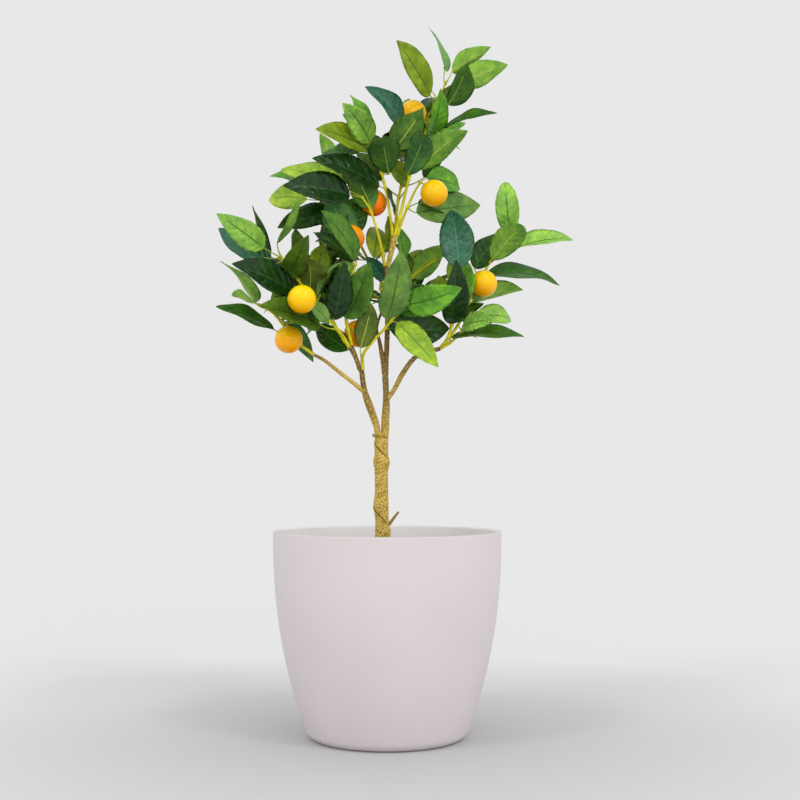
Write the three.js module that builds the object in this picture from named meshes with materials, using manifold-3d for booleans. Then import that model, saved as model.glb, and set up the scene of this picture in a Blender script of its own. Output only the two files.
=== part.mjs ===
// Artificial calamondin orange tree standing in its round plastic pot.
// Millimetres, +Z up, the front towards -Y. The origin is the centre of the pot's flat underside.
import * as THREE from "three";
import Module from "manifold-3d";

const wasm = await Module();
wasm.setup();

// ---- driving dimensions ----

const gap = 0.3; // running clearance between neighbouring pieces
const goldenAngle = 137.5;

const pot = {
  height: 224,
  rimRadius: 125,
  taper: 39.4, // how much narrower the foot would be without its round corner
  taperPower: 2.23,
  cornerRadius: 9,
  wall: 5,
  floor: 7,
  rimRound: 1.2,
  sideLevels: 6,
  segments: 48,
};

const soil = { level: 198, edgeDrop: 3, seatRadius: 22 };

const trunk = {
  axis: [[-5.8, 0, soil.level + gap], [-5.8, 0, 240], [-6.6, 0, 290], [-6.4, 0, 332]],
  footRadius: 11.5,
  radius: 7.1,
  topRadius: 7.7,
  flareHeight: 0.16, // of the trunk's length
  sides: 14,
  rings: 22,
};
// Each swelling of the tape: place up the trunk, height, growth, and the side it bulges to.
const tapeSwellings = [
  { at: 0.2, spread: 0.07, growth: 1.6, side: 0 },
  { at: 0.415, spread: 0.06, growth: 2.2, side: 180 },
  { at: 0.74, spread: 0.045, growth: 1.7, side: 0 },
  { at: 0.74, spread: 0.045, growth: 1.5, side: 180 },
];
const stubTwig = { axis: [[2, -1, 231], [7, -2, 238], [12.5, -3, 245]], radius: 1.2 };
const trunkKnob = { axis: [[-11, -2, 328], [-16.3, -3, 329]], radius: 1.5 };

// Boughs: the points their axis runs through, and the radii met in turn from foot to tip.
const boughs = {
  left_bough: {
    axis: [[-10.6, 0, 330], [-12.2, 0, 340], [-17.8, -1, 356], [-25.2, -3, 378], [-28.6, -5, 402]],
    radii: [2.9, 2.8, 3.4, 3.7, 2.5, 2.3],
    on: "trunk",
  },
  right_bough: {
    axis: [[-2.6, 0, 330], [-2.1, 0, 347], [-1.2, 0, 366], [-2.1, 0, 390], [-3.4, 0, 417]],
    radii: [4.1, 4, 3.7, 2.6, 2.8, 4.3],
    on: "trunk",
  },
  left_outer_bough: {
    axis: [[-25, -3, 376], [-37, -6, 386], [-52, -9, 397.5], [-68, -13, 410], [-80, -15, 416.5]],
    radii: [2.1, 1.5],
    on: "left_bough",
  },
  left_front_bough: {
    axis: [[-30.4, -3.8, 400.6], [-33.2, -8.6, 410], [-37, -13.6, 419], [-40.6, -18, 426]],
    radii: [1.9, 2.4, 3.4],
    on: "left_bough",
  },
  right_outer_bough: {
    axis: [[0, 0, 369], [8, -3, 380], [18, -7, 398.5], [33, -9, 416], [58, -9, 424]],
    radii: [2.4, 2, 2.6, 2, 2.2],
    on: "right_bough",
  },
  left_prong: {
    axis: [[-5.5, 0, 415], [-8.4, 1, 431], [-11.6, 2, 448], [-5, 6, 471]],
    radii: [2, 1.6, 1.1, 1.1],
    on: "right_bough",
  },
  right_prong: {
    axis: [[-1.1, 0, 415], [-0.4, 0, 436], [0.4, 2, 476], [-0.6, 0, 517]],
    radii: [1.9, 2.4, 2.4, 2.3],
    on: "right_bough",
  },
  back_bough: {
    axis: [[0, 1, 440], [1, 16, 452], [3, 38, 472], [4, 54, 490]],
    radii: [2.1, 2.6],
    on: "right_prong",
  },
  upper_bough: {
    axis: [[0.5, 0.7, 515.6], [3.2, -1, 528], [6, -3, 539], [8.4, -4, 550]],
    radii: [2.2, 2.8, 3.3],
    on: "right_prong",
  },
};

// A leaf blade: width and keel as shares of its length and half width, thickness in millimetres.
const blade = { width: 0.46, thickness: 1.2, keel: 0.22, arch: 0.05, stations: [0.18, 0.45, 0.74] };
const [small, middle, large, longest] = [54, 62, 72, 82]; // lengths of blades
const petioleRadius = 0.75;
const stemRadii = [1.5, 0.9];
const twigRadius = 0.85;
const fruitRadius = 15;

// Seeded twigs: how long they grow, how many leaves each carries, and how the leaves stand off.
const twigRule = { length: [26, 46], leaves: 4, splay: 52, petiole: 7, sizes: [longest, large, middle, small] };
const leafClearance = 15; // between the midribs of a seeded leaf and any earlier one
const limbClearance = 9;

// Foliage masses. Each has one stem, from the tip of the bough it grows on, and leaves on it:
// [place up the stem, petiole, heading clockwise from up, lean to the front, roll, length].
// A roll past 90 shows the underside. A mass with twigs carries the rest by the seeded rule.
const masses = {
  foliage_left_outer: {
    on: "left_outer_bough",
    stem: [[-80.3, -15, 416.9], [-95, -17, 428], [-113, -18, 448], [-124, -20, 461], [-140, -24, 471]],
    fruit: [[0.36, -107, -22, 431]],
    leaves: [
      [0.35, 25, -70, 30, 45, large],
      [1, 8, -65, -50, 110, small],
      [0.9, 15, -40, 45, 70, large],
      [0.4, 4, 140, -50, -160, small],
    ],
  },
  foliage_left_front: {
    on: "left_front_bough",
    stem: [[-41.6, -20.6, 424.6], [-48, -27, 436], [-58, -38, 447], [-70, -54, 457], [-81, -66, 464]],
    fruit: [[0.95, -89, -88, 469]],
    leaves: [
      [0.4, 25, -75, 40, 45, longest],
      [0.6, 8, -75, 5, 160, middle],
      [0.8, 4, 60, 50, -65, small],
      [0.95, 15, 40, 0, -70, small],
      [0.35, 15, -5, 5, 30, middle],
    ],
  },
  foliage_left_high: {
    on: "left_front_bough",
    stem: [[-42.8, -15.6, 426.4], [-64, -28, 457], [-88, -38, 485], [-103, -42, 506], [-114, -42, 519]],
    leaves: [
      [0.05, 4, -60, -30, 10, middle],
      [1, 20, -60, 40, 0, large],
      [0.95, 12, -60, -15, 35, large],
      [1, 4, -20, -25, 75, large],
      [0.4, 30, -70, 40, 35, longest],
      [0.6, 4, -70, -25, 40, longest],
      [0.55, 4, -60, -35, 45, small],
      [0.7, 4, 25, 45, 10, middle],
      [0.65, 20, -5, -35, 45, small],
      [0.4, 4, 0, 60, 180, large],
      [0.4, 35, 0, -30, 170, small],
      [1, 8, 20, 40, 75, large],
    ],
  },
  foliage_left_middle: {
    on: "left_front_bough",
    stem: [[-38.6, -16.4, 425.6], [-45, -24, 456], [-45, -28, 484], [-35, -22, 515], [-40, -16, 536]],
    fruit: [[0.9, -40, -8, 546], [0.15, -33, -1, 441]],
    leaves: [
      [0.2, 10, 20, 40, -20, large],
      [0.75, 4, -40, 35, 45, large],
      [0.75, 4, -50, -20, 45, middle],
      [1, 15, -15, 60, 180, longest],
      [1, 15, -10, -20, 10, small],
    ],
  },
  foliage_upper_left: {
    on: "right_prong",
    stem: [[-3.2, -1.8, 516], [-4.4, -4, 524], [-10, -11, 549], [-18, -16, 574], [-28, -20, 590]],
    fruit: [[0.75, -15.5, 1, 587]],
    leaves: [
      [0.7, 12, -40, 5, 175, small],
      [1, 15, -85, 30, 25, longest],
      [0.35, 4, -10, -45, 30, small],
      [1, 20, -70, -20, 40, longest],
    ],
  },
  foliage_crown_left: {
    on: "upper_bough",
    stem: [[5.7, -4.3, 549.4], [4, -7, 565], [-1, -11, 595], [-8, -12, 623], [-18, -10, 643]],
    leaves: [
      [1, 8, -40, 45, 0, middle],
      [1, 10, -20, -20, 40, middle],
      [1, 8, -80, 40, 30, large],
      [1, 15, -85, -35, 30, small],
      [0.7, 4, -5, 60, 180, large],
      [0.55, 8, -70, 30, 35, longest],
      [0.6, 4, 175, -15, -70, small],
      [0.7, 30, 40, 50, -170, large],
    ],
  },
  foliage_top: {
    on: "upper_bough",
    stem: [[8.3, -6.6, 549.4], [16, -7, 580], [26, -8, 620], [41, -10, 657], [53, -10, 691], [64, -10, 718]],
    fruit: [[0.7, 28, -12, 684]],
    leaves: [
      [0.85, 15, -40, 45, 30, longest],
      [1, 20, -15, -30, 75, large],
      [1, 15, 50, -20, -130, middle],
      [0.9, 30, 60, -20, -150, middle],
      [0.75, 25, 35, 50, 180, middle],
      [0.6, 4, 15, 45, 45, middle],
      [0.7, 15, 80, 30, -65, large],
      [0.55, 35, -50, 45, 55, large],
      [0.35, 4, 15, 40, 180, middle],
      [0.4, 15, 65, 40, -135, longest],
    ],
  },
  foliage_upper_right: {
    on: "upper_bough",
    stem: [[10.9, -3.8, 549.4], [15, -5, 563], [22, -10, 580], [30, -12, 597], [37, -12, 609]],
    fruit: [[0.95, 51, -24, 593]],
    leaves: [
      [0.95, 6, 70, -10, -150, middle],
      [0.5, 10, 95, 20, -35, longest],
      [0.5, 10, 100, -35, -45, small],
    ],
  },
  foliage_centre: {
    on: "left_bough",
    stem: [[-27, -6.6, 400.6], [-26.6, -10, 417], [-16, -18, 431], [-4, -26, 443], [4, -32, 452], [11, -36, 463]],
    leaves: [
      [0.65, 10, 10, 35, 25, longest],
      [0.8, 15, 15, -20, -30, large],
      [1, 8, 75, 25, 0, large],
      [0.8, 4, 140, 25, 0, large],
      [0.6, 6, 90, -20, -10, large],
      [0.8, 10, 85, 5, -40, small],
      [0.1, 20, 5, 30, 180, middle],
    ],
  },
  foliage_right_high: {
    on: "right_outer_bough",
    stem: [[58.4, -8, 424.6], [68, -8, 440], [75, -4, 473], [77, 0, 503]],
    leaves: [
      [0.95, 10, -10, 35, 0, longest],
      [0.45, 4, 5, 35, 20, longest],
      [0.7, 4, 15, -25, -65, small],
      [0.45, 8, -40, -25, 0, small],
      [0.7, 10, -15, -25, 30, small],
    ],
  },
  foliage_right: {
    on: "right_outer_bough",
    stem: [[59, -4.6, 424.6], [78, -1, 451], [94, 4, 484], [108, 8, 511], [117, 8, 526], [131, 6, 549]],
    fruit: [[0.45, 106, -8, 496]],
    leaves: [
      [0.55, 4, 35, -20, -20, middle],
      [1, 8, -5, 35, 0, middle],
      [0.75, 4, 45, 45, -165, middle],
      [0.9, 20, 80, -20, -50, large],
      [0.65, 4, 100, -10, -60, longest],
      [0.35, 4, 70, -30, -120, large],
    ],
  },
  foliage_right_low: {
    on: "right_outer_bough",
    stem: [[58.6, -11.6, 424], [70, -15, 431], [83, -14, 443], [95, -9, 456]],
    leaves: [
      [0.7, 4, 90, 50, -30, middle],
      [1, 4, 80, -35, -30, middle],
      [0.85, 4, 70, -20, -70, middle],
      [0.3, 4, 85, 25, -65, longest],
      [0.65, 4, 50, -40, -45, small],
    ],
  },
  foliage_behind_top: {
    on: "upper_bough",
    stem: [[8.2, -1.4, 549.4], [13, 30, 600], [28, 46, 657], [46, 44, 691]],
    leaves: [
      [0.6, 30, 55, -20, -30, middle],
      [0.7, 10, -5, -25, 60, middle],
      [0.85, 4, 5, -30, 45, small],
      [0.4, 30, 65, 10, -30, small],
      [0.3, 4, -10, 40, 10, small],
    ],
    twigs: { count: 5, seed: 4, facing: 20, spread: 100, rise: 35 },
    space: { centre: [35, 62, 672], radii: [62, 62, 95] },
  },
  foliage_behind_left: {
    on: "back_bough",
    stem: [[2.1, 52.6, 490], [-22, 68, 533], [-49, 74, 587], [-72, 66, 626]],
    leaves: [
      [0.8, 25, -85, -30, 30, large],
      [0.7, 8, -110, 30, 55, longest],
      [0.85, 25, -75, 40, 65, middle],
      [0.95, 4, -5, -20, 150, middle],
    ],
    twigs: { count: 5, seed: 14, facing: -30, spread: 90, rise: 20 },
    space: { centre: [-58, 80, 590], radii: [75, 62, 75] },
  },
  foliage_behind_right: {
    on: "back_bough",
    stem: [[5.9, 52.6, 490], [26, 66, 512], [52, 66, 531], [72, 60, 544]],
    leaves: [
      [0.4, 4, 35, -30, 180, small],
      [0.3, 25, -10, 50, 45, small],
      [0.25, 4, 25, -35, 10, small],
    ],
    twigs: { count: 5, seed: 1, facing: 40, spread: 90, rise: 15 },
    space: { centre: [75, 75, 535], radii: [78, 60, 66] },
  },
  foliage_behind_low: {
    on: "back_bough",
    stem: [[4, 55.2, 487.6], [-28, 72, 491], [-62, 70, 494], [-95, 58, 500]],
    leaves: [],
    twigs: { count: 5, seed: 11, facing: -20, spread: 100, rise: 0 },
    space: { centre: [-62, 75, 492], radii: [92, 58, 55] },
  },
  foliage_behind_middle: {
    on: "left_prong",
    stem: [[-4.8, 6.2, 471.5], [-4.6, 8, 474], [-6, 14, 484], [-8, 18, 494]],
    leaves: [
      [0.95, 4, -45, 25, 10, small],
      [1, 35, -5, 40, 45, middle],
    ],
  },
};

// ---- materials ----

const finish = (color, roughness) => new THREE.MeshStandardMaterial({ color, roughness, metalness: 0 });
const potPlastic = finish(0xe6e0df, 0.55);
const soilCrumb = finish(0x4a3626, 0.95);
const barkTape = finish(0xb59a4d, 0.8);
const boughTape = finish(0x9a7b45, 0.8);
const printedLeaf = finish(0x3f8a36, 0.45);

// ---- solids ----

// A closed solid from vertices [x, y, z] and triangles of their indices.
function solidOf(vertices, triangles) {
  const vertProperties = new Float32Array(vertices.flat());
  const triVerts = new Uint32Array(triangles.flat());
  return new wasm.Manifold(new wasm.Mesh({ numProp: 3, vertProperties, triVerts }));
}

function meshOf(solid, name, material) {
  const { numProp, vertProperties, triVerts } = solid.getMesh();
  const place = new Float32Array((vertProperties.length / numProp) * 3);
  for (let i = 0; i < place.length / 3; i += 1) {
    place.set(vertProperties.subarray(i * numProp, i * numProp + 3), i * 3);
  }
  const geometry = new THREE.BufferGeometry();
  geometry.setAttribute("position", new THREE.BufferAttribute(place, 3));
  geometry.setIndex(new THREE.BufferAttribute(triVerts, 1));
  geometry.computeVertexNormals();
  const mesh = new THREE.Mesh(geometry, material);
  mesh.name = name;
  return mesh;
}

// Quads between two rings of `sides` vertices that start at indices a and b, as triangles.
function band(a, b, sides) {
  return Array.from({ length: sides }, (_, i) => {
    const j = (i + 1) % sides;
    return [[a + i, a + j, b + j], [a + i, b + j, b + i]];
  }).flat();
}

// A fan that closes the ring at index a; `end` turns it to face along the loft.
function cap(a, sides, end) {
  return Array.from({ length: sides - 2 }, (_, i) => (
    end ? [a, a + i + 1, a + i + 2] : [a, a + i + 2, a + i + 1]
  ));
}

// A loft through rings of equal count, closed flat at both ends, or to a point past the last ring.
function loft(rings, apex) {
  const sides = rings[0].length;
  const last = (rings.length - 1) * sides;
  const triangles = cap(0, sides, false);
  for (let i = 1; i < rings.length; i += 1) triangles.push(...band((i - 1) * sides, i * sides, sides));
  if (!apex) return solidOf(rings.flat(), [...triangles, ...cap(last, sides, true)]);
  for (let i = 0; i < sides; i += 1) triangles.push([last + i, last + ((i + 1) % sides), last + sides]);
  return solidOf([...rings.flat(), apex], triangles);
}

const curveThrough = (points) => (
  new THREE.CatmullRomCurve3(points.map((p) => new THREE.Vector3(...p)), false, "catmullrom", 0.5)
);

// A limb: a round section carried along a curve without twist, its radius a function of the
// place up the curve and the angle round it. `grown` adds to it all over, ends too.
function limbSolid(curve, radiusAt, sides, steps, grown = 0) {
  const start = curve.getTangent(0);
  const across = new THREE.Vector3(1, 0, 0).addScaledVector(start, -start.x).normalize();
  const rings = [];
  for (let i = 0; i <= steps; i += 1) {
    const t = i / steps;
    const along = curve.getTangent(t);
    const past = i === 0 ? -grown : i === steps ? grown : 0;
    const centre = curve.getPoint(t).addScaledVector(along, past);
    across.addScaledVector(along, -across.dot(along)).normalize();
    const third = new THREE.Vector3().crossVectors(along, across);
    rings.push(Array.from({ length: sides }, (_, k) => {
      const angle = (2 * Math.PI * k) / sides;
      const radius = radiusAt(t, angle) + grown;
      return centre.clone()
        .addScaledVector(across, radius * Math.cos(angle))
        .addScaledVector(third, radius * Math.sin(angle))
        .toArray();
    }));
  }
  return loft(rings);
}

// A radius that runs evenly through the listed ones from foot to tip.
const taper = (radii) => (t) => {
  const place = t * (radii.length - 1);
  const i = Math.min(Math.floor(place), radii.length - 2);
  return radii[i] + (radii[i + 1] - radii[i]) * (place - i);
};

// ---- pot and soil ----

// Outer radius of the pot at a height: a smooth bulging side with a round corner at the foot.
function potRadius(z) {
  const side = pot.rimRadius - pot.taper * (1 - z / pot.height) ** pot.taperPower;
  const drop = Math.max(0, 1 - z / pot.cornerRadius);
  return side - pot.cornerRadius * (1 - Math.sqrt(1 - drop * drop));
}

const innerRadius = (z) => potRadius(z) - pot.wall;
const wallLevels = Array.from({ length: pot.sideLevels }, (_, i) => (
  pot.floor + ((pot.height - 2 - pot.floor) * i) / (pot.sideLevels - 1)
));

// Revolves [radius, height] pairs, given from the axis round to the axis, about Z.
function revolved(profile) {
  const rings = profile.filter(([r]) => r > 0).map(([r, z]) => (
    Array.from({ length: pot.segments }, (_, k) => {
      const angle = (2 * Math.PI * k) / pot.segments;
      return [r * Math.cos(angle), r * Math.sin(angle), z];
    })
  ));
  return loft(rings);
}

function potSolid() {
  const corner = [0, 0.12, 0.4, 1].map((s) => s * pot.cornerRadius);
  const outside = [...corner, ...wallLevels.slice(1)].map((z) => [potRadius(z), z]);
  const top = potRadius(pot.height);
  const rim = [[top - pot.rimRound, pot.height], [top - pot.wall + pot.rimRound, pot.height]];
  const inside = wallLevels.map((z) => [innerRadius(z), z]).reverse();
  return revolved([...outside, ...rim, ...inside]);
}

function soilSolid() {
  const edge = soil.level - soil.edgeDrop;
  const middle = (innerRadius(edge) + soil.seatRadius) / 2;
  const side = [pot.floor, wallLevels[2], edge - gap].map((z) => [innerRadius(z) - 2 * gap, z + gap]);
  return revolved([...side, [middle, soil.level - soil.edgeDrop / 3], [soil.seatRadius, soil.level]]);
}

// ---- trunk and boughs ----

function trunkRadius(t, angle) {
  const flare = (trunk.footRadius - trunk.radius) * Math.exp(-t / trunk.flareHeight * 2);
  const plain = trunk.radius + (trunk.topRadius - trunk.radius) * t ** 4 + flare;
  return tapeSwellings.reduce((radius, { at, spread, growth, side }) => {
    const facing = 0.5 + 0.5 * Math.cos(angle - THREE.MathUtils.degToRad(side));
    return radius + growth * facing * Math.exp(-(((t - at) / spread) ** 2));
  }, plain);
}

function trunkSolid() {
  const body = limbSolid(curveThrough(trunk.axis), trunkRadius, trunk.sides, trunk.rings);
  const extras = [stubTwig, trunkKnob].map(({ axis, radius }) => (
    limbSolid(curveThrough(axis), () => radius, 6, 3)
  ));
  return extras.reduce((whole, piece) => whole.add(piece), body);
}

// Everything rigid that a later piece must stay clear of, grown by the gap.
const seats = {};
const limbAxes = [];

function growLimb(name, curve, radiusAt, sides, steps) {
  seats[name] = limbSolid(curve, radiusAt, sides, steps, gap);
  for (let i = 0; i <= 24; i += 1) limbAxes.push(curve.getPoint(i / 24));
}

function boughSolid(name, { axis, radii, on }) {
  const curve = curveThrough(axis);
  const steps = 3 * (axis.length - 1);
  growLimb(name, curve, taper(radii), 8, steps);
  return largestBody(limbSolid(curve, taper(radii), 8, steps).subtract(seats[on]));
}

// The biggest of the bodies that a cut leaves.
function largestBody(solid) {
  return solid.decompose().reduce((best, body) => (body.volume() > best.volume() ? body : best));
}

// ---- leaves, fruit and twigs ----

const outline = (t) => Math.sin(Math.PI * t ** 0.86) ** 0.85; // pointed oval, widest below the middle

// A petiole from `foot` that runs into an arched, keeled blade, one closed loft of four-sided
// sections: left edge, upper midrib, right edge, lower midrib.
function leafSolid({ foot, along, face, petiole, length }) {
  const side = new THREE.Vector3().crossVectors(along, face);
  const root = foot.clone().addScaledVector(along, petiole);
  const section = (centre, half, up, down) => [
    centre.clone().addScaledVector(side, -half).addScaledVector(face, blade.keel * half),
    centre.clone().addScaledVector(face, up),
    centre.clone().addScaledVector(side, half).addScaledVector(face, blade.keel * half),
    centre.clone().addScaledVector(face, -down),
  ];
  const rings = [
    section(foot, petioleRadius, petioleRadius, petioleRadius),
    section(root, petioleRadius, petioleRadius, petioleRadius),
  ];
  for (const t of blade.stations) {
    const rise = blade.arch * length * 4 * t * (1 - t);
    const centre = root.clone().addScaledVector(along, length * t).addScaledVector(face, rise);
    rings.push(section(centre, 0.5 * blade.width * length * outline(t), 0, blade.thickness));
  }
  const tip = root.clone().addScaledVector(along, length);
  return loft(rings.map((ring) => ring.map((v) => v.toArray())), tip.toArray());
}

// The blade's direction and the way its upper face looks, from heading, lean and roll in degrees.
function leafFrame(heading, lean, roll) {
  const [h, l, r] = [heading, lean, roll].map(THREE.MathUtils.degToRad);
  const along = new THREE.Vector3(Math.sin(h) * Math.cos(l), -Math.sin(l), Math.cos(h) * Math.cos(l));
  const front = new THREE.Vector3(0, -1, 0);
  const face = front.addScaledVector(along, -front.dot(along)).normalize().applyAxisAngle(along, r);
  return { along, face };
}

const midribAt = ({ foot, along, petiole, length }, t) => (
  foot.clone().addScaledVector(along, petiole + length * t)
);
const ribPlaces = [0.15, 0.4, 0.65, 0.9];

// A pseudo-random sequence between 0 and 1 that depends on its seed alone.
function seededSequence(seed) {
  let state = seed;
  return () => {
    state = (state * 16807) % 2147483647;
    return state / 2147483647;
  };
}

function insideSpace(point, { centre, radii }) {
  const share = point.toArray().map((v, i) => ((v - centre[i]) / radii[i]) ** 2);
  return share[0] + share[1] + share[2] < 1;
}

const placedLeaves = [];

function isClear(leaf, space, name) {
  const rib = ribPlaces.map((t) => midribAt(leaf, t));
  const inSpace = rib.every((p) => insideSpace(p, space));
  const offLimbs = rib.every((p) => limbAxes.every((q) => p.distanceTo(q) > limbClearance));
  const offLeaves = placedLeaves.every((other) => other.name === name || ribPlaces.every((t) => (
    rib.every((p) => p.distanceTo(midribAt(other, t)) > leafClearance)
  )));
  return inSpace && offLimbs && offLeaves;
}

// Twigs that branch off the stem at seeded places, and the leaves set round each of them.
function seededTwigs(name, stem, { count, seed, facing, spread, rise }, space) {
  const random = seededSequence(seed);
  const between = (low, high) => low + (high - low) * random();
  const grown = [];
  for (let i = 0; i < count; i += 1) {
    const foot = stem.getPoint((i + between(0.4, 1)) / count);
    const turn = THREE.MathUtils.degToRad(facing + between(-spread, spread));
    const climb = THREE.MathUtils.degToRad(rise + between(-25, 25));
    const along = new THREE.Vector3(
      Math.sin(turn) * Math.cos(climb), Math.cos(turn) * Math.cos(climb), Math.sin(climb));
    const length = between(...twigRule.length);
    const across = new THREE.Vector3(0, 0, 1).addScaledVector(along, -along.z).normalize();
    const start = between(0, 360);
    const leaves = [];
    for (let k = 0; k < twigRule.leaves; k += 1) {
      const place = (k + 1) / twigRule.leaves;
      const round = THREE.MathUtils.degToRad(start + k * goldenAngle);
      const splay = THREE.MathUtils.degToRad(place < 1 ? twigRule.splay : 8);
      const out = across.clone().applyAxisAngle(along, round);
      const direction = along.clone().multiplyScalar(Math.cos(splay)).addScaledVector(out, Math.sin(splay));
      const up = new THREE.Vector3(between(-0.5, 0.5), between(-0.5, 0.5), 1);
      const leaf = {
        name,
        foot: foot.clone().addScaledVector(along, length * place),
        along: direction,
        face: up.addScaledVector(direction, -up.dot(direction)).normalize(),
        petiole: twigRule.petiole,
        length: twigRule.sizes[Math.floor(between(0, twigRule.sizes.length))],
      };
      if (isClear(leaf, space, name)) leaves.push(leaf);
    }
    placedLeaves.push(...leaves);
    if (leaves.length) grown.push({ foot, tip: foot.clone().addScaledVector(along, length), leaves });
  }
  return grown;
}

function foliageSolid(name, { on, stem, fruit = [], leaves, twigs, space }) {
  const curve = curveThrough(stem);
  const pieces = [limbSolid(curve, taper(stemRadii), 6, 3 * (stem.length - 1))];
  for (const [at, ...centre] of fruit) {
    pieces.push(ballSolid(centre));
    pieces.push(limbSolid(curveThrough([curve.getPoint(at).toArray(), centre]), () => twigRadius, 3, 1));
  }
  for (const [at, petiole, heading, lean, roll, length] of leaves) {
    const leaf = { name, foot: curve.getPoint(at), petiole, length, ...leafFrame(heading, lean, roll) };
    placedLeaves.push(leaf);
    pieces.push(leafSolid(leaf));
  }
  for (const twig of twigs ? seededTwigs(name, curve, twigs, space) : []) {
    const axis = curveThrough([twig.foot.toArray(), twig.tip.toArray()]);
    pieces.push(limbSolid(axis, () => twigRadius, 3, 1), ...twig.leaves.map(leafSolid));
  }
  return largestBody(wasm.Manifold.union(pieces).subtract(seats[on]));
}

// A faceted ball, its shared corners merged.
function ballSolid(centre) {
  const rings = 7;
  const sides = 12;
  const axis = [];
  for (let i = 0; i <= rings; i += 1) {
    const polar = (Math.PI * (i + 0.35)) / (rings + 0.7);
    axis.push([Math.sin(polar) * fruitRadius, Math.cos(polar) * fruitRadius]);
  }
  return loft(axis.reverse().map(([r, z]) => Array.from({ length: sides }, (_, k) => {
    const angle = (2 * Math.PI * k) / sides;
    return [centre[0] + r * Math.cos(angle), centre[1] + r * Math.sin(angle), centre[2] + z];
  })));
}

// ---- the tree in its pot ----

const tree = new THREE.Group();
tree.name = "calamondin_tree_in_pot";
tree.add(meshOf(potSolid(), "pot", potPlastic));
tree.add(meshOf(soilSolid(), "potting_soil", soilCrumb));
tree.add(meshOf(trunkSolid(), "trunk", barkTape));
growLimb("trunk", curveThrough(trunk.axis), trunkRadius, trunk.sides, trunk.rings);
for (const [name, bough] of Object.entries(boughs)) {
  tree.add(meshOf(boughSolid(name, bough), name, boughTape));
}
for (const [name, mass] of Object.entries(masses)) {
  tree.add(meshOf(foliageSolid(name, mass), name, printedLeaf));
}

export default tree;
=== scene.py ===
import bmesh
import bpy
import numpy as np
from mathutils import Euler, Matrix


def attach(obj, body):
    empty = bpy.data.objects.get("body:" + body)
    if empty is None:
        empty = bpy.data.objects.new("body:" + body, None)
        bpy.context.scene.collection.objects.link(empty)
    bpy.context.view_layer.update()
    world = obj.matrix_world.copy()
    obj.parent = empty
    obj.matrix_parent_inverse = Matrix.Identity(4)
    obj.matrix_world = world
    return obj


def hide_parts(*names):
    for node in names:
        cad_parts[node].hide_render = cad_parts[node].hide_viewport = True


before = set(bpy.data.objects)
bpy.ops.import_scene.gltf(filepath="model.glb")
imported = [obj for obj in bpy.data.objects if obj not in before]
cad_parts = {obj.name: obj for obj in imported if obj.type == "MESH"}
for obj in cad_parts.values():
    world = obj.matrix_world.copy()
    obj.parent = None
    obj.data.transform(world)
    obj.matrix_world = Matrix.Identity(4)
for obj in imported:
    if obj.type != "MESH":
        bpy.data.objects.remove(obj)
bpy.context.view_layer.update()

metre = 0.001  # one millimetre in Blender's metres
goldenAngle = 137.5  # degrees from one leaf to the next round a twig


# sRGB hex to linear RGBA: c / 12.92 below 0.04045, else ((c + 0.055) / 1.055) ^ 2.4.
def linear(code):
    channel = np.array([int(code[i:i + 2], 16) for i in (1, 3, 5)]) / 255
    value = np.where(channel <= 0.04045, channel / 12.92, ((channel + 0.055) / 1.055) ** 2.4)
    return (*value.tolist(), 1.0)


# One node with its settings and links. "stops" fills a colour ramp with places and colours. A
# link comes from a socket, or from the first output of a node.
def addNode(tree, kind, settings=None, links=None):
    node = tree.nodes.new("ShaderNode" + kind)
    for key, value in (settings or {}).items():
        if key == "stops":
            ramp = node.color_ramp.elements
            while len(ramp) < len(value):
                ramp.new(0.5)
            for stop, (place, colour) in zip(ramp, value):
                stop.position = place
                stop.color = linear(colour) if isinstance(colour, str) else colour
        elif isinstance(key, int) or key in node.inputs:
            node.inputs[key].default_value = value
        else:
            setattr(node, key, value)
    for key, source in (links or {}).items():
        socket = source.outputs[0] if isinstance(source, bpy.types.Node) else source
        tree.links.new(socket, node.inputs[key])
    return node


# An empty node material and its tree.
def newMaterial(name):
    material = bpy.data.materials.new(name)
    material.use_nodes = True
    material.node_tree.nodes.clear()
    return material, material.node_tree


# Ends a material: its Principled shader with settings and links, on the output.
def endMaterial(material, settings, links):
    tree = material.node_tree
    shader = addNode(tree, "BsdfPrincipled", settings, links)
    addNode(tree, "OutputMaterial", None, {"Surface": shader})
    return material


# A pattern's scale from the real size of one grain in millimetres.
def perMetre(size):
    return 1000 / size


# What a range node is set to: low to high becomes first to last.
def remap(low, high, first, last):
    return {"From Min": low, "From Max": high, "To Min": first, "To Max": last}


# Angles round a section, the last one a step short of the full turn.
def roundAngles(sides):
    return 2 * np.pi * np.arange(sides) / sides


# Closes a stack of rings with a point in the middle of each end ring.
def tube(rings):
    rings = np.asarray(rings, float)
    first, last = rings[:1].mean(1, keepdims=True), rings[-1:].mean(1, keepdims=True)
    count = rings.shape[1]
    return np.concatenate([np.repeat(first, count, 1), rings, np.repeat(last, count, 1)])


# Repeats the end rows of a ring-by-ring array, as tube adds a ring at each end.
def withEnds(rows):
    return np.concatenate([rows[:1], rows, rows[-1:]])


# Quads between neighbouring rings of a grid that closes on itself across.
def gridFaces(rows, columns):
    i, j = np.meshgrid(np.arange(rows - 1), np.arange(columns), indexing="ij")
    here, right = i * columns + j, i * columns + (j + 1) % columns
    return np.stack([here, right, right + columns, here + columns], -1).reshape(-1, 4)


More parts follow.
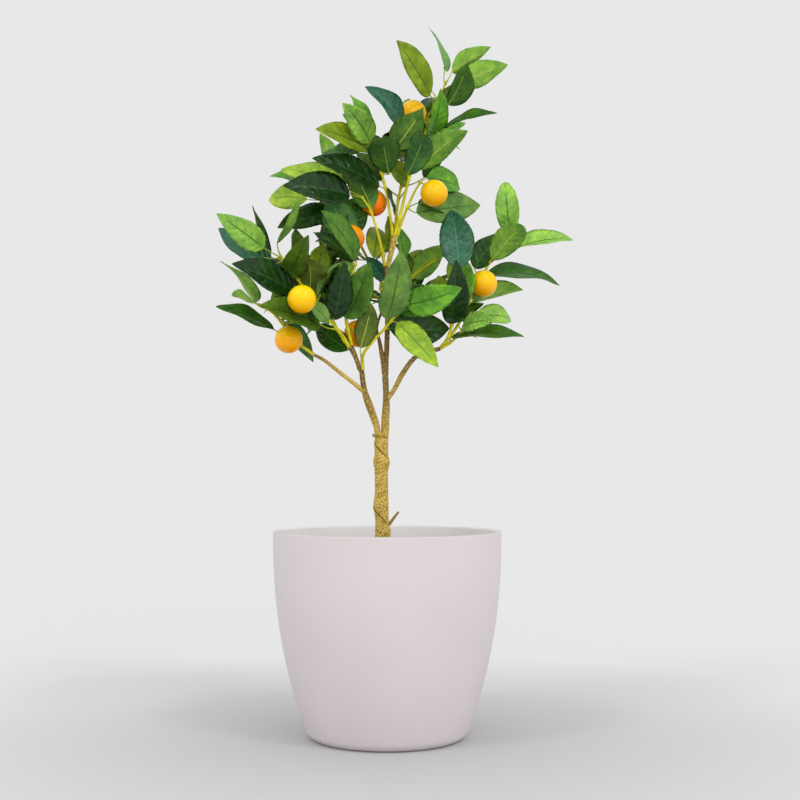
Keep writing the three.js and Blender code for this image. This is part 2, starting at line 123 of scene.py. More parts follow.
# One smooth mesh from closed tubes. Each part is its rings (rows x columns x 3, in mm), the
# material number of each of its faces, and a UV for each of its points where the piece has a map.
def makePiece(name, parts, materials, nodes=(), uvName=None):
    points, faces, numbers, maps = [], [], [], []
    start = 0
    for rings, number, uv in parts:
        rows, columns = rings.shape[:2]
        points.append(rings.reshape(-1, 3))
        faces.append(gridFaces(rows, columns) + start)
        numbers.append(np.broadcast_to(number, (rows - 1, columns)).reshape(-1))
        if uvName:
            maps.append(uv.reshape(-1, 2))
        start += rows * columns
    mesh = bpy.data.meshes.new(name)
    mesh.from_pydata((np.concatenate(points) * metre).tolist(), [], np.concatenate(faces).tolist())
    mesh.polygons.foreach_set("material_index", np.concatenate(numbers).astype(np.int32))
    mesh.polygons.foreach_set("use_smooth", np.ones(len(mesh.polygons), bool))
    if uvName:
        corner = np.zeros(len(mesh.loops), np.int32)
        mesh.loops.foreach_get("vertex_index", corner)
        layer = mesh.uv_layers.new(name=uvName)
        layer.data.foreach_set("uv", np.concatenate(maps)[corner].astype(np.float32).reshape(-1))
    cleaner = bmesh.new()
    cleaner.from_mesh(mesh)
    bmesh.ops.remove_doubles(cleaner, verts=cleaner.verts, dist=1e-7)
    cleaner.to_mesh(mesh)
    cleaner.free()
    for material in materials:
        mesh.materials.append(material)
    piece = bpy.data.objects.new(name, mesh)
    bpy.context.scene.collection.objects.link(piece)
    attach(piece, "root")
    if nodes:
        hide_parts(*nodes)
    print(f"{name}: {len(mesh.polygons)} faces")


# Places t (0 to 1) on a uniform Catmull-Rom spline through the points:
# p1 + a u + (3 d - 2 a - b) u^2 + (a + b - 2 d) u^3, with end slopes a, b and d = p2 - p1.
def curvePoints(points, t):
    knots = np.asarray(points, float)
    padded = np.vstack([2 * knots[0] - knots[1], knots, 2 * knots[-1] - knots[-2]])
    place = np.atleast_1d(t) * (len(knots) - 1)
    i = np.clip(np.floor(place).astype(int), 0, len(knots) - 2)
    u = (place - i)[:, None]
    before, first, second, after = (padded[i + k] for k in range(4))
    a, b, d = (second - before) / 2, (after - first) / 2, second - first
    return first + a * u + (3 * d - 2 * a - b) * u ** 2 + (a + b - 2 * d) * u ** 3


def pathLength(points):
    return np.linalg.norm(np.diff(points, axis=0), axis=1).sum()


def unit(vectors):
    vectors = np.asarray(vectors, float)
    return vectors / np.linalg.norm(vectors, axis=-1, keepdims=True)


# A round section carried along a path without twist: centre + r (cos a across + sin a third),
# with radii as rings x sides.
def limbRings(centres, radii):
    along = unit(np.gradient(centres, axis=0))
    across = np.empty_like(along)
    previous = np.array([1.0, 0, 0]) if abs(along[0][0]) < 0.9 else np.array([0, 1.0, 0])
    for k, direction in enumerate(along):
        previous = unit(previous - direction * (previous @ direction))
        across[k] = previous
    third = np.cross(along, across)
    angle = roundAngles(radii.shape[1])[None, :, None]
    ring = np.cos(angle) * across[:, None] + np.sin(angle) * third[:, None]
    return centres[:, None] + radii[..., None] * ring


# Radii that run evenly through the listed ones, one for each place t.
def evenRadii(radii, t):
    return np.interp(t, np.linspace(0, 1, len(radii)), radii)


# A closed tube along a spline, with one radius for each of its places t.
def roundTube(points, radius, t, sides):
    return tube(limbRings(curvePoints(points, t), np.repeat(radius[:, None], sides, 1)))


# Sum of sines sin(2 pi along cos(w) / size + turns angle + phase), about -1 to 1, with the way w
# of each sine free and turns = girth sin(w) / size rounded, so that it closes on itself.
def crinkle(along, angle, seed, sizes, girth):
    random = np.random.default_rng(seed)
    waves = 20
    total = np.zeros(np.broadcast(along, angle).shape)
    for _ in range(waves):
        size = random.uniform(*sizes)
        way = random.uniform(0, np.pi)
        phase = random.uniform(0, 2 * np.pi)
        turns = round(girth * np.sin(way) / size)
        total += np.sin(2 * np.pi * along * np.cos(way) / size + turns * angle + phase)
    return total / np.sqrt(waves)


view = {
    "distance": 1500,  # in front of the tree
    "height": 303,
    "focal": 61.24,  # mm of lens on a 36 mm wide sensor
    "tilt": 0.0432,  # up, in radians
    "turn": -0.0093,
}
camera = bpy.data.objects.new("camera", bpy.data.cameras.new("camera"))
camera.location = (0, -view["distance"] * metre, view["height"] * metre)
camera.rotation_euler = Euler((np.pi / 2 + view["tilt"], 0, view["turn"]))
camera.data.lens = view["focal"]
camera.data.sensor_width = 36
camera.data.clip_start = 0.01
bpy.context.scene.collection.objects.link(camera)
bpy.context.scene.camera = camera
bpy.context.scene.view_settings.view_transform = "Standard"

# A lamp is its compass angle (0 is the front, 90 the right) and climb in degrees, its strength,
# how many degrees wide it looks, and its tint.
studio = {
    "radius": 40000,
    "sides": 96,
    # near is painted shade: the floor's colour round the pot, darker than far off
    "near": "#c6c6c6",
    "far": "#e3e3e3",
    "paintedShadeFrom": 120,  # mm from the middle, where the floor's tone starts to change
    "paintedShadeTo": 620,
    "sky": "#e8e8e8",
    "lamps": {
        "key_left": (-48, 45, 0.34, 14, (0.95, 0.97, 1)),
        "key_right": (42, 45, 0.44, 14, (1, 1, 1)),
        "front_fill": (12, 3, 1.02, 60, (1, 1, 1)),
        "left_fill": (-85, 2, 0.32, 50, (1, 1, 1)),
        "right_fill": (80, 2, 0.34, 50, (1, 1, 1)),
    },
}


# A wide round floor with painted shade: darker round the pot, where a shadow would fall, and far off it meets
# the sky in one tone.
def buildFloor():
    angle = roundAngles(studio["sides"])
    points = np.stack([np.cos(angle), np.sin(angle), 0 * angle], -1) * studio["radius"] * metre
    mesh = bpy.data.meshes.new("studio_floor")
    mesh.from_pydata(points.tolist(), [], [list(range(studio["sides"]))])
    floor = bpy.data.objects.new("studio_floor", mesh)
    bpy.context.scene.collection.objects.link(floor)
    material, tree = newMaterial("paper_backdrop")
    place = addNode(tree, "TexCoord").outputs["Object"]
    away = addNode(tree, "VectorMath", {"operation": "LENGTH"}, {0: place}).outputs["Value"]
    # The colour runs from near to far with the distance from the middle: painted shade round the pot.
    reach = remap(studio["paintedShadeFrom"] * metre, studio["paintedShadeTo"] * metre, 0, 1)
    floorShade = addNode(tree, "MapRange", reach, {"Value": away})
    tint = addNode(tree, "ValToRGB", {"stops": [(0, studio["near"]), (1, studio["far"])]}, {"Fac": floorShade})
    mesh.materials.append(endMaterial(material, {"Roughness": 0.95, "Specular IOR Level": 0.0},
                                      {"Base Color": tint}))


# The far lamps and the sky.
def buildLights():
    for name, (turn, climb, strength, softness, tint) in studio["lamps"].items():
        light = bpy.data.objects.new(name, bpy.data.lights.new(name, "SUN"))
        light.data.energy = strength
        light.data.color = tint
        light.data.angle = np.radians(softness)
        light.rotation_euler = Euler((np.radians(90 - climb), 0, np.radians(turn)))
        bpy.context.scene.collection.objects.link(light)
    world = bpy.data.worlds.new("studio_sky")
    world.use_nodes = True
    world.node_tree.nodes["Background"].inputs["Color"].default_value = linear(studio["sky"])
    bpy.context.scene.world = world


buildFloor()
buildLights()
print("studio ready")


pot = {
    "height": 224,
    "rimRadius": 125,
    "taper": 39.4,
    "taperPower": 2.23,
    "cornerRadius": 9,
    "wall": 5,
    "floor": 7,
    "lipRadius": 1.2,
    "sides": 192,
    "rings": (12, 40, 30),  # up the bottom corner, the outside and the inside
    "lipRings": (1.5, 0.6, 0.2, 0),  # mm under the lip at which rings lie closer
    "lipSteps": 7,
    "flatInset": 0.3,  # mm from the ends of the lip's flat to its next rings
    "innerStart": 6,  # mm under the rim at which the even rings inside start
    "paintedLightFrom": 3,  # rings past the outer ones at which the inner look starts
    "colours": ("#d3cacb", "#d6cdce"),
    # The inside wall's colours: a whiter copy of the pot's, painted light for the light that the rim and the
    # crown keep off it.
    "paintedLightColours": ("#f8f5f5", "#fcfafa"),
}


# Side R - taper (1 - z / h)^power, less the round corner c (1 - sqrt(1 - (1 - z / c)^2)).
def potRadius(z):
    z = np.asarray(z, float)
    side = pot["rimRadius"] - pot["taper"] * (1 - z / pot["height"]) ** pot["taperPower"]
    drop = np.maximum(0, 1 - z / pot["cornerRadius"])
    return side - pot["cornerRadius"] * (1 - np.sqrt(1 - drop ** 2))


# Turns [radius, height] pairs about Z: (r cos a, r sin a, z).
def revolved(profile, sides):
    profile = np.asarray(profile, float)
    angle = roundAngles(sides)
    r, z = profile[:, :1], profile[:, 1:]
    return np.stack([r * np.cos(angle), r * np.sin(angle), np.repeat(z, sides, 1)], -1)


# Moulded polypropylene: satin, with a faint grain and hardly seen flow marks.
def potMaterial(name, colours):
    material, tree = newMaterial(name)
    place = {"Vector": addNode(tree, "TexCoord").outputs["Object"]}
    flow = addNode(tree, "TexNoise", {"Scale": perMetre(90), "Detail": 2.0}, place)
    tint = addNode(tree, "ValToRGB", {"stops": [(0.35, colours[0]), (0.65, colours[1])]}, {"Fac": flow})
    grain = addNode(tree, "TexNoise", {"Scale": perMetre(0.8), "Detail": 3.0}, place)
    bump = addNode(tree, "Bump", {"Strength": 0.12, "Distance": 0.0002}, {"Height": grain})
    shine = addNode(tree, "MapRange", remap(0, 1, 0.46, 0.56), {"Value": flow})
    return endMaterial(material, {"IOR": 1.49}, {"Base Color": tint, "Roughness": shine, "Normal": bump})


# The outer and inner walls meet in a lip of two quarter circles with a flat between them.
def buildPot():
    height, wall, lip = pot["height"], pot["wall"], pot["lipRadius"]
    cornerRings, outerRings, innerRings = pot["rings"]
    close = height - lip - np.array(pot["lipRings"])
    corner = pot["cornerRadius"] * (1 - np.cos(np.linspace(0, np.pi / 2, cornerRings)))
    side = np.linspace(pot["cornerRadius"], close[0], outerRings)[1:]
    outside = np.concatenate([corner, side, close[1:]])
    even = np.linspace(height - pot["innerStart"], pot["floor"], innerRings)
    inside = np.concatenate([close[::-1], even])
    top = float(potRadius(height))
    turn = np.linspace(0, np.pi / 2, pot["lipSteps"])[1:-1]
    outerLip = np.stack([top - lip + lip * np.cos(turn), height - lip + lip * np.sin(turn)], 1)
    innerLip = np.stack([top - wall + lip - lip * np.sin(turn), height - lip + lip * np.cos(turn)], 1)
    inset = pot["flatInset"]
    flat = [top - lip, top - lip - inset, top - wall + lip + inset, top - wall + lip]
    flat = np.array([[radius, height] for radius in flat])
    outer = np.concatenate([np.stack([potRadius(outside), outside], 1), outerLip, flat[:2]])
    inner = np.concatenate([flat[2:], innerLip, np.stack([potRadius(inside) - wall, inside], 1)])
    rings = tube(revolved(np.concatenate([outer, inner]), pot["sides"]))
    # The inside wall from here on takes the whiter copy: painted light.
    number = (np.arange(len(rings) - 1) > len(outer) + pot["paintedLightFrom"]).astype(int)[:, None]
    materials = [potMaterial("moulded_polypropylene", pot["colours"]),
                 potMaterial("polypropylene_painted_light", pot["paintedLightColours"])]
    makePiece("round_pot", [(rings, number, None)], materials, ["pot"])


soil = {
    "level": 198,
    "edgeDrop": 3,
    "sideGaps": (0.4, 0.6),  # to the pot's wall, at the surface and under it
    "belowHeights": (7.3, 60, 130, 190),
    "sides": 220,
    "rings": 90,
    "seed": 8,
    "waves": 26,
    "waveSizes": (4, 15),
    "crumb": 0.672,  # mm of height to one unit of the sum
    "crumbBounds": (-3.2, 2.4),
    "calmRim": 12,  # how steeply the crumbs die out towards the wall
    "sink": 0.8,
    "colours": [(0.3, "#2a1d13"), (0.6, "#4b3625"), (0.78, "#7a6146")],
}


# Peat crumb: dull dark brown grains with paler flecks of fibre.
def soilMaterial():
    material, tree = newMaterial("peat_crumb")
    place = {"Vector": addNode(tree, "TexCoord").outputs["Object"]}
    crumb = addNode(tree, "TexVoronoi", {"Scale": perMetre(3.5)}, place)
    fibre = addNode(tree, "TexNoise", {"Scale": perMetre(2), "Detail": 5.0}, place)
    tint = addNode(tree, "ValToRGB", {"stops": soil["colours"]}, {"Fac": fibre})
    bump = addNode(tree, "Bump", {"Strength": 0.8, "Distance": 0.0012}, {"Height": crumb})
    return endMaterial(material, {"Roughness": 0.95}, {"Base Color": tint, "Normal": bump})


# A flat mound z = level - drop (r / R)^2, with crumbs as sums of |sine| in x and y.
def buildSoil():
    topGap, sideGap = soil["sideGaps"]
    edge = float(potRadius(soil["level"] - soil["edgeDrop"])) - pot["wall"] - topGap
    share = np.linspace(0.01, 1, soil["rings"])[::-1]
    mound = np.stack([edge * share, soil["level"] - soil["edgeDrop"] * share ** 2], 1)
    top = revolved(mound, soil["sides"])
    random = np.random.default_rng(soil["seed"])
    x, y = top[..., 0], top[..., 1]
    meanSine = 0.64  # about the mean of |sine|
    crumbs = np.zeros_like(x)
    for _ in range(soil["waves"]):
        size = random.uniform(*soil["waveSizes"])
        turn = random.uniform(0, np.pi)
        phase = random.uniform(0, 2 * np.pi)
        crumbs += np.abs(np.sin(np.pi * (x * np.cos(turn) + y * np.sin(turn)) / size + phase)) - meanSine
    calm = np.clip((1 - share) * soil["calmRim"], 0, 1)[:, None]
    top[..., 2] += np.clip(crumbs * soil["crumb"], *soil["crumbBounds"]) * calm - soil["sink"]
    below = np.array(soil["belowHeights"])
    below = revolved(np.stack([potRadius(below) - pot["wall"] - sideGap, below], 1), soil["sides"])
    rings = tube(np.concatenate([below, top]))
    makePiece("soil_filling", [(rings, 0, None)], [soilMaterial()], ["potting_soil"])


buildPot()
buildSoil()


trunk = {
    "axis": [[-5.8, 0, 198.3], [-5.8, 0, 240], [-6.6, 0, 290], [-6.4, 0, 332]],
    "footRadius": 11.5,
    "radius": 7.1,
    "topRadius": 7.7,
    "flareHeight": 0.16,
    # A swelling is its place up the trunk, its spread, its growth and the side it bulges to.
    "swellings": [(0.2, 0.07, 1.6, 0), (0.415, 0.06, 2.2, 180),
                  (0.74, 0.045, 1.7, 0), (0.74, 0.045, 1.5, 180)],
    # The stub twig and the knob at the fork: axis, first and last radius, rings, brownness.
    "snags": [([[2, -1, 231], [7, -2, 238], [12.5, -3, 245]], (1.82, 1.12), 14, 0.7),
              ([[-11, -2, 328], [-16.3, -3, 329]], (1.6, 1.6), 8, 0.6)],
    "snagSides": 12,
    "rings": 320,
    "sides": 110,
    "seed": 21,
    "crinkle": 0.6,
    "crinkleSizes": (3.4, 6),
    "seams": [308, 240],  # heights in front at which the tape's edge crosses the middle
    "seamDrop": 50,  # mm down for a turn to the right
    "seamHeight": 1.0,
    # The collar's groove is also painted dark: painted shade.
    "collar": 326,  # height of the groove under the tape's last turn
    "goldenTape": [(0, "#64501f"), (0.3, "#a58836"), (0.62, "#cdae52"), (1, "#e6ce80")],
    "brownTape": [(0, "#3f2e12"), (0.35, "#6f5729"), (0.7, "#937a41"), (1, "#b5a068")],
}
meanLump = 0.45  # about the mean of crepe, so that the tape leaves a limb's thickness as it is
boughTape = {"seed": 40, "crinkle": 0.36, "crinkleSizes": (4, 7), "ringsPerMm": 1.8, "sides": 30,
             "browning": 0.7}  # the share of a bough over which golden turns to brown

# "golden" is how far up each bough the golden tape reaches, as a share of its length.
boughs = {
    "left_bough": {
        "axis": [[-10.6, 0, 330], [-12.2, 0, 340], [-17.8, -1, 356], [-25.2, -3, 378], [-28.6, -5, 402]],
        "radii": [3.5, 3.4, 3.9, 4.1, 3, 2.8],
        "golden": 0.5,
    },
    "right_bough": {
        "axis": [[-2.6, 0, 330], [-2.1, 0, 347], [-1.2, 0, 366], [-2.1, 0, 390], [-3.4, 0, 417]],
        "radii": [4.4, 4.4, 4.2, 3.2, 3.4, 4.9],
        "golden": 0.3,
    },
    "left_outer_bough": {
        "axis": [[-25, -3, 376], [-37, -6, 386], [-52, -9, 397.5], [-68, -13, 410], [-80, -15, 416.5]],
        "radii": [2.5, 1.7],
        "golden": 0.75,
    },
    "left_front_bough": {
        "axis": [[-30.4, -3.8, 400.6], [-33.2, -8.6, 410], [-37, -13.6, 419], [-40.6, -18, 426]],
        "radii": [2.3, 2.6, 3.4],
        "golden": -1,
    },
    "right_outer_bough": {
        "axis": [[0, 0, 369], [8, -3, 380], [18, -7, 398.5], [33, -9, 416], [58, -9, 424]],
        "radii": [2.8, 2.5, 2.9, 2.4, 2.3],
        "golden": 0.35,
    },
    "left_prong": {
        "axis": [[-5.5, 0, 415], [-8.4, 1, 431], [-11.6, 2, 448], [-5, 6, 471]],
        "radii": [2.8, 2, 1.5, 1.3],
        "golden": -1,
    },
    "right_prong": {
        "axis": [[-1.1, 0, 415], [-0.4, 0, 436], [0.4, 2, 476], [-0.6, 0, 517]],
        "radii": [2.8, 2.8, 2.7, 2.6],
        "golden": -1,
    },
    "back_bough": {
        "axis": [[0, 1, 440], [1, 16, 452], [3, 38, 472], [4, 54, 490]],
        "radii": [2.3, 2.7],
        "golden": -1,
    },
    "upper_bough": {
        "axis": [[0.5, 0.7, 515.6], [3.2, -1, 528], [6, -3, 539], [8.4, -4, 550]],
        "radii": [2.6, 3, 3.6],
        "golden": 3,
    },
}


# Plain taper plus a root flare exp(-2 t / h) and a one-sided bell for each swelling.
def trunkRadius(t, angle):
    flare = (trunk["footRadius"] - trunk["radius"]) * np.exp(-2 * t / trunk["flareHeight"])
    radius = trunk["radius"] + (trunk["topRadius"] - trunk["radius"]) * t ** 4 + flare + 0 * angle
    for at, spread, growth, side in trunk["swellings"]:
        facing = 0.5 + 0.5 * np.cos(angle - np.radians(side))
        radius = radius + growth * facing * np.exp(-(((t - at) / spread) ** 2))
    return radius


# Crepe crinkles, 0 in the creases and 1 on the lumps: 1 - exp(-(sum of sines / 0.45)^2), where
# the sum's zeros are the creases, mixed with a finer sum.
def crepe(along, angle, seed, sizes, girth):
    lumps = 1 - np.exp(-(crinkle(along, angle, seed, sizes, girth) / 0.45) ** 2)
    fine = 0.5 + 0.5 * crinkle(along, angle, seed + 1, (2.4, 4), girth)
    return 0.6 * lumps + 0.4 * np.clip(fine, 0, 1)


# Crepe paper tape, dull, with painted light and shade: darker in the creases and paler on the lumps. The map
# "bark" holds the lump height, which carries that painted light and shade, and how brown the tape is.
def tapeMaterial():
    material, tree = newMaterial("crepe_tape")
    place = {"Vector": addNode(tree, "TexCoord").outputs["Object"]}
    bark = addNode(tree, "SeparateXYZ", None, {0: addNode(tree, "UVMap", {"uv_map": "bark"})}).outputs
    grain = addNode(tree, "TexNoise", {"Scale": perMetre(1.8), "Detail": 3.0, "Roughness": 0.6}, place)
    patch = addNode(tree, "TexNoise", {"Scale": perMetre(9), "Detail": 2.0}, place)
    # The lump height with grain and patches on it sets the colour: painted shade in the creases, painted
    # light on the lumps.
    level = addNode(tree, "Math", {"operation": "MULTIPLY_ADD", 1: 0.9}, {0: grain, 2: bark["X"]})
    shadeAndPatches = addNode(tree, "Math", {"operation": "MULTIPLY_ADD", 1: 0.5}, {0: patch, 2: level})
    shade = addNode(tree, "MapRange", remap(0.45, 1.85, 0, 1), {"Value": shadeAndPatches})
    golden = addNode(tree, "ValToRGB", {"stops": trunk["goldenTape"]}, {"Fac": shade})
    brown = addNode(tree, "ValToRGB", {"stops": trunk["brownTape"]}, {"Fac": shade})
    tint = addNode(tree, "Mix", {"data_type": "RGBA"}, {0: bark["Y"], 6: golden, 7: brown})
    bump = addNode(tree, "Bump", {"Strength": 0.6, "Distance": 0.0005}, {"Height": shadeAndPatches})
    return endMaterial(material, {"Roughness": 0.8, "Specular IOR Level": 0.25},
                       {"Base Color": tint.outputs[2], "Normal": bump})


# Closes a limb and its bark map, which holds the crinkles and the brownness.
def barkPart(rings, lumps, brown):
    return tube(rings), 0, withEnds(np.stack(np.broadcast_arrays(lumps, brown), -1))


# The limb section with trunkRadius plus crinkles, and each tape edge as a step down a helix:
# radius + h exp(-d / 5) below the edge and a groove just above it, d being mm from the edge.
def buildTrunk():
    t = np.linspace(0, 1, trunk["rings"])[:, None]
    angle = roundAngles(trunk["sides"])[None]
    foot, top = trunk["axis"][0][2], trunk["axis"][-1][2]
    height = foot + (top - foot) * t
    lumps = crepe(height, angle, trunk["seed"], trunk["crinkleSizes"], 2 * np.pi * trunk["radius"])
    front = (angle - 1.5 * np.pi + np.pi) % (2 * np.pi) - np.pi
    step = np.zeros_like(lumps)
    for middle in trunk["seams"]:
        above = height - (middle - trunk["seamDrop"] * front / (2 * np.pi))
        fade = np.clip(1.6 - np.abs(front) / 1.5, 0, 1)
        step += fade * np.where(above < 0, np.exp(above / 5), -np.exp(-((above - 0.5) / 1.1) ** 2))
    step = step - 0.5 * np.exp(-(((height - trunk["collar"] + 1.2 * np.sin(angle + 1)) / 1.6) ** 2))
    # Where the step is negative the bark map drops below zero, which paints the groove the darkest tape
    # colour: painted shade in the seams and under the collar.
    lumps = np.where(step < 0, lumps * np.maximum(1 + step, 0) + 0.45 * step, lumps)
    radii = (trunkRadius(t, angle) + trunk["crinkle"] * (np.maximum(lumps, 0) - meanLump)
             + trunk["seamHeight"] * np.maximum(step, 0))
    parts = [barkPart(limbRings(curvePoints(trunk["axis"], t[:, 0]), radii), lumps, 0)]
    for axis, ends, rings, brown in trunk["snags"]:
        radii = np.repeat(np.linspace(*ends, rings)[:, None], trunk["snagSides"], 1)
        snag = limbRings(curvePoints(axis, np.linspace(0, 1, rings)), radii)
        parts.append(barkPart(snag, np.full(radii.shape, 0.5), brown))
    makePiece("taped_trunk", parts, [tape], ["trunk"], "bark")


# The same section along each bough, with its crinkles and its turn from golden to brown.
def buildBoughs():
    parts = []
    for number, bough in enumerate(boughs.values()):
        length = pathLength(bough["axis"])
        t = np.linspace(0, 1, int(length * boughTape["ringsPerMm"]))[:, None]
        angle = roundAngles(boughTape["sides"])[None]
        seed, girth = boughTape["seed"] + 3 * number, 2 * np.pi * bough["radii"][0]
        lumps = crepe(length * t, angle, seed, boughTape["crinkleSizes"], girth)
        radii = evenRadii(bough["radii"], t) + boughTape["crinkle"] * (lumps - meanLump)
        brown = np.clip((t - bough["golden"]) / boughTape["browning"] + 0.5, 0, 1)
        parts.append(barkPart(limbRings(curvePoints(bough["axis"], t[:, 0]), radii), lumps, brown))
    makePiece("taped_boughs", parts, [tape], list(boughs), "bark")


tape = tapeMaterial()
buildTrunk()
buildBoughs()


# Printed leaf cloth: face colour, vein colour, roughness, specular level.
tones = {
    "black": ("#15380d", "#2c5222", 0.26, 0.34),
    "dark": ("#254c10", "#3d6a28", 0.26, 0.24),
    "teal": ("#225e40", "#3c7c60", 0.31, 0.5),
    "deep": ("#39681c", "#23481a", 0.32, 0.16),
    "middle": ("#54802c", "#2c5a1c", 0.36, 0.18),
    "sage": ("#688e42", "#40682c", 0.4, 0.14),
    "bright": ("#629f2e", "#33691c", 0.38, 0.2),
    "light": ("#8dbf4e", "#3f7426", 0.42, 0.2),
    "lime": ("#98ba38", "#5c8a28", 0.42, 0.2),
    "olive": ("#7a941c", "#4a6416", 0.36, 0.18),
    "moss": ("#4c6a1a", "#2c4a14", 0.34, 0.16),
    "underDark": ("#406628", "#7c9650", 0.6, 0.08),
    "underTeal": ("#46723c", "#8cab5a", 0.56, 0.1),
    "underGreen": ("#587f34", "#9ab450", 0.6, 0.08),
    "underMoss": ("#5c7030", "#94a04c", 0.6, 0.08),
    "underLight": ("#7aa842", "#b8ce6c", 0.6, 0.08),
}
veinPairs = 6.5  # side veins up a blade
veinSweep = 0.2  # how far a side vein runs forward on its way out, as a share of the blade
puckered = 0.3  # the specular level above which a cloth looks puckered

# Where the printed side veins end across a half blade, the bounds in which they fade up and down
# from the blade's middle, how much is left past them, and how strong the printed midrib is.
printAbove = {"end": 0.85, "fading": (0.5, 0.62), "rest": 0.45, "rib": 0.9}
printBelow = {"end": 0.4, "fading": (0.12, 0.2), "rest": 0.0, "rib": 0.0}  # two pairs by the rib


# Polyester leaf cloth, dyed and pressed: a coated satin face above and a dull one below, with
# the midrib and side veins printed. On the map "blade" u runs up the blade and v across it, 0.5
# being the midrib. With side = 2 |v - 0.5| a side vein is where sin(pi pairs (u - sweep side)) is 0.
def leafMaterial(name, colour, veinColour, roughness, gloss, upper):
    material, tree = newMaterial(name)
    face = printAbove if upper else printBelow
    place = {"Vector": addNode(tree, "TexCoord").outputs["Object"]}
    uv = addNode(tree, "SeparateXYZ", None, {0: addNode(tree, "UVMap", {"uv_map": "blade"})}).outputs
    off = addNode(tree, "Math", {"operation": "MULTIPLY_ADD", 1: 2.0, 2: -1.0}, {0: uv["Y"]})
    side = addNode(tree, "Math", {"operation": "ABSOLUTE"}, {0: off})
    sweep = addNode(tree, "Math", {"operation": "MULTIPLY_ADD", 1: -veinSweep}, {0: side, 2: uv["X"]})
    turn = addNode(tree, "Math", {"operation": "MULTIPLY", 1: veinPairs * np.pi}, {0: sweep})
    wave = addNode(tree, "Math", {"operation": "SINE"}, {0: turn})
    vein = addNode(tree, "Math", {"operation": "ABSOLUTE"}, {0: wave})
    climb = addNode(tree, "Math", {"operation": "SUBTRACT", 1: 0.42}, {0: uv["X"]})
    away = addNode(tree, "Math", {"operation": "ABSOLUTE"}, {0: climb})
    line = addNode(tree, "MapRange", remap(0.02, 0.26, 1, 0), {"Value": vein})
    fade = addNode(tree, "MapRange", remap(0.05, face["end"], 0.62, 0), {"Value": side})
    reach = addNode(tree, "MapRange", remap(*face["fading"], 1, face["rest"]), {"Value": away})
    near = addNode(tree, "Math", {"operation": "MULTIPLY"}, {0: line, 1: fade})
    short = addNode(tree, "Math", {"operation": "MULTIPLY"}, {0: near, 1: reach})
    rib = addNode(tree, "MapRange", remap(0.03, 0.085, face["rib"], 0), {"Value": side})
    tip = addNode(tree, "MapRange", remap(0.72, 0.93, 1, 0), {"Value": uv["X"]})
    middle = addNode(tree, "Math", {"operation": "MULTIPLY"}, {0: rib, 1: tip})
    veins = addNode(tree, "Math", {"operation": "MAXIMUM"}, {0: short, 1: middle})
    patch = addNode(tree, "TexNoise", {"Scale": perMetre(17), "Detail": 3.0, "Roughness": 0.6}, place)
    weave = addNode(tree, "TexNoise", {"Scale": perMetre(1.1), "Detail": 2.0}, place)  # coarser than cloth
    pucker = addNode(tree, "TexNoise", {"Scale": perMetre(9), "Detail": 1.0}, place)
    mottle = addNode(tree, "TexNoise", {"Scale": perMetre(3.2), "Detail": 2.0, "Roughness": 0.7}, place)
    blotch = addNode(tree, "Math", {"operation": "MULTIPLY_ADD", 1: 0.3}, {0: mottle, 2: patch})
    base = np.array(linear(colour))
    dim = tuple(base * [0.6, 0.68, 0.8, 1])
    lit = tuple(np.clip(base * [1.5, 1.36, 1.1, 1] + [0.004, 0.004, 0, 0], 0, 1))
    paleEdgeAndSheen = tuple(np.clip(base * 2.2 + [0.03, 0.04, 0, 0], 0, 1))
    stops = [(0.46, dim), (0.65, tuple(base)), (0.84, lit)]
    tint = addNode(tree, "ValToRGB", {"stops": stops}, {"Fac": blotch})
    # Towards the margin the colour is mixed halfway to a much paler copy of the face: partly the cloth's
    # paler cut edge, partly a painted highlight along the edge.
    edge = addNode(tree, "MapRange", remap(0.9, 1, 0, 0.5), {"Value": side})
    rim = addNode(tree, "Mix", {"data_type": "RGBA", 7: paleEdgeAndSheen}, {0: edge, 6: tint}).outputs[2]
    printed = addNode(tree, "Mix", {"data_type": "RGBA", 7: linear(veinColour)}, {0: veins, 6: rim})
    fold = addNode(tree, "Math", {"operation": "MULTIPLY_ADD", 1: 0.14}, {0: weave, 2: vein})
    relief = {"operation": "MULTIPLY_ADD", 1: 5.0 if gloss > puckered else 1.6}
    height = addNode(tree, "Math", relief, {0: pucker, 2: fold})
    bump = addNode(tree, "Bump", {"Strength": 0.45, "Distance": 0.0009}, {"Height": height})
    shine = addNode(tree, "MapRange", remap(0, 1, roughness - 0.07, roughness + 0.1), {"Value": patch})
    return endMaterial(material, {"IOR": 1.46, "Specular IOR Level": gloss},
                       {"Base Color": printed.outputs[2], "Roughness": shine, "Normal": bump})


# Polyethylene sleeve over wire, moulded: waxy yellow-green, a little uneven.
def stemMaterial(name, dark, light):
    material, tree = newMaterial(name)
    place = {"Vector": addNode(tree, "TexCoord").outputs["Object"]}
    patch = addNode(tree, "TexNoise", {"Scale": perMetre(9), "Detail": 3.0}, place)
    tint = addNode(tree, "ValToRGB", {"stops": [(0.35, dark), (0.65, light)]}, {"Fac": patch})
    bump = addNode(tree, "Bump", {"Strength": 0.3, "Distance": 0.0004}, {"Height": patch})
    return endMaterial(material, {"Roughness": 0.45, "IOR": 1.5, "Specular IOR Level": 0.25},
                       {"Base Color": tint, "Normal": bump})


fruit = {
    "radius": 15,
    "rings": 34,
    "sides": 48,
    "stalkDimple": (0.05, 0.22),  # share of the radius, and its spread in radians
    "footDimple": (0.03, 0.16),
    "uneven": 0.006,
    "seatDepth": 1,  # how deep the stalk goes in
    "stalkRadii": [1.0, 0.8, 0.9],
    "stalkArch": 2,
    "cap": (1.2, 0.3),  # mm of the cap outside and inside the seat
    "capRadii": [0.9, 3.0],
    # Each ramp runs from the foot of the ball to its top, paler upwards: painted light.
    "yellow": [(0.15, "#fbb200"), (0.6, "#ffca00"), (1, "#ffdc0c")],
    "orange": [(0.15, "#ee6a00"), (0.6, "#fb8200"), (1, "#ff9e10")],
}
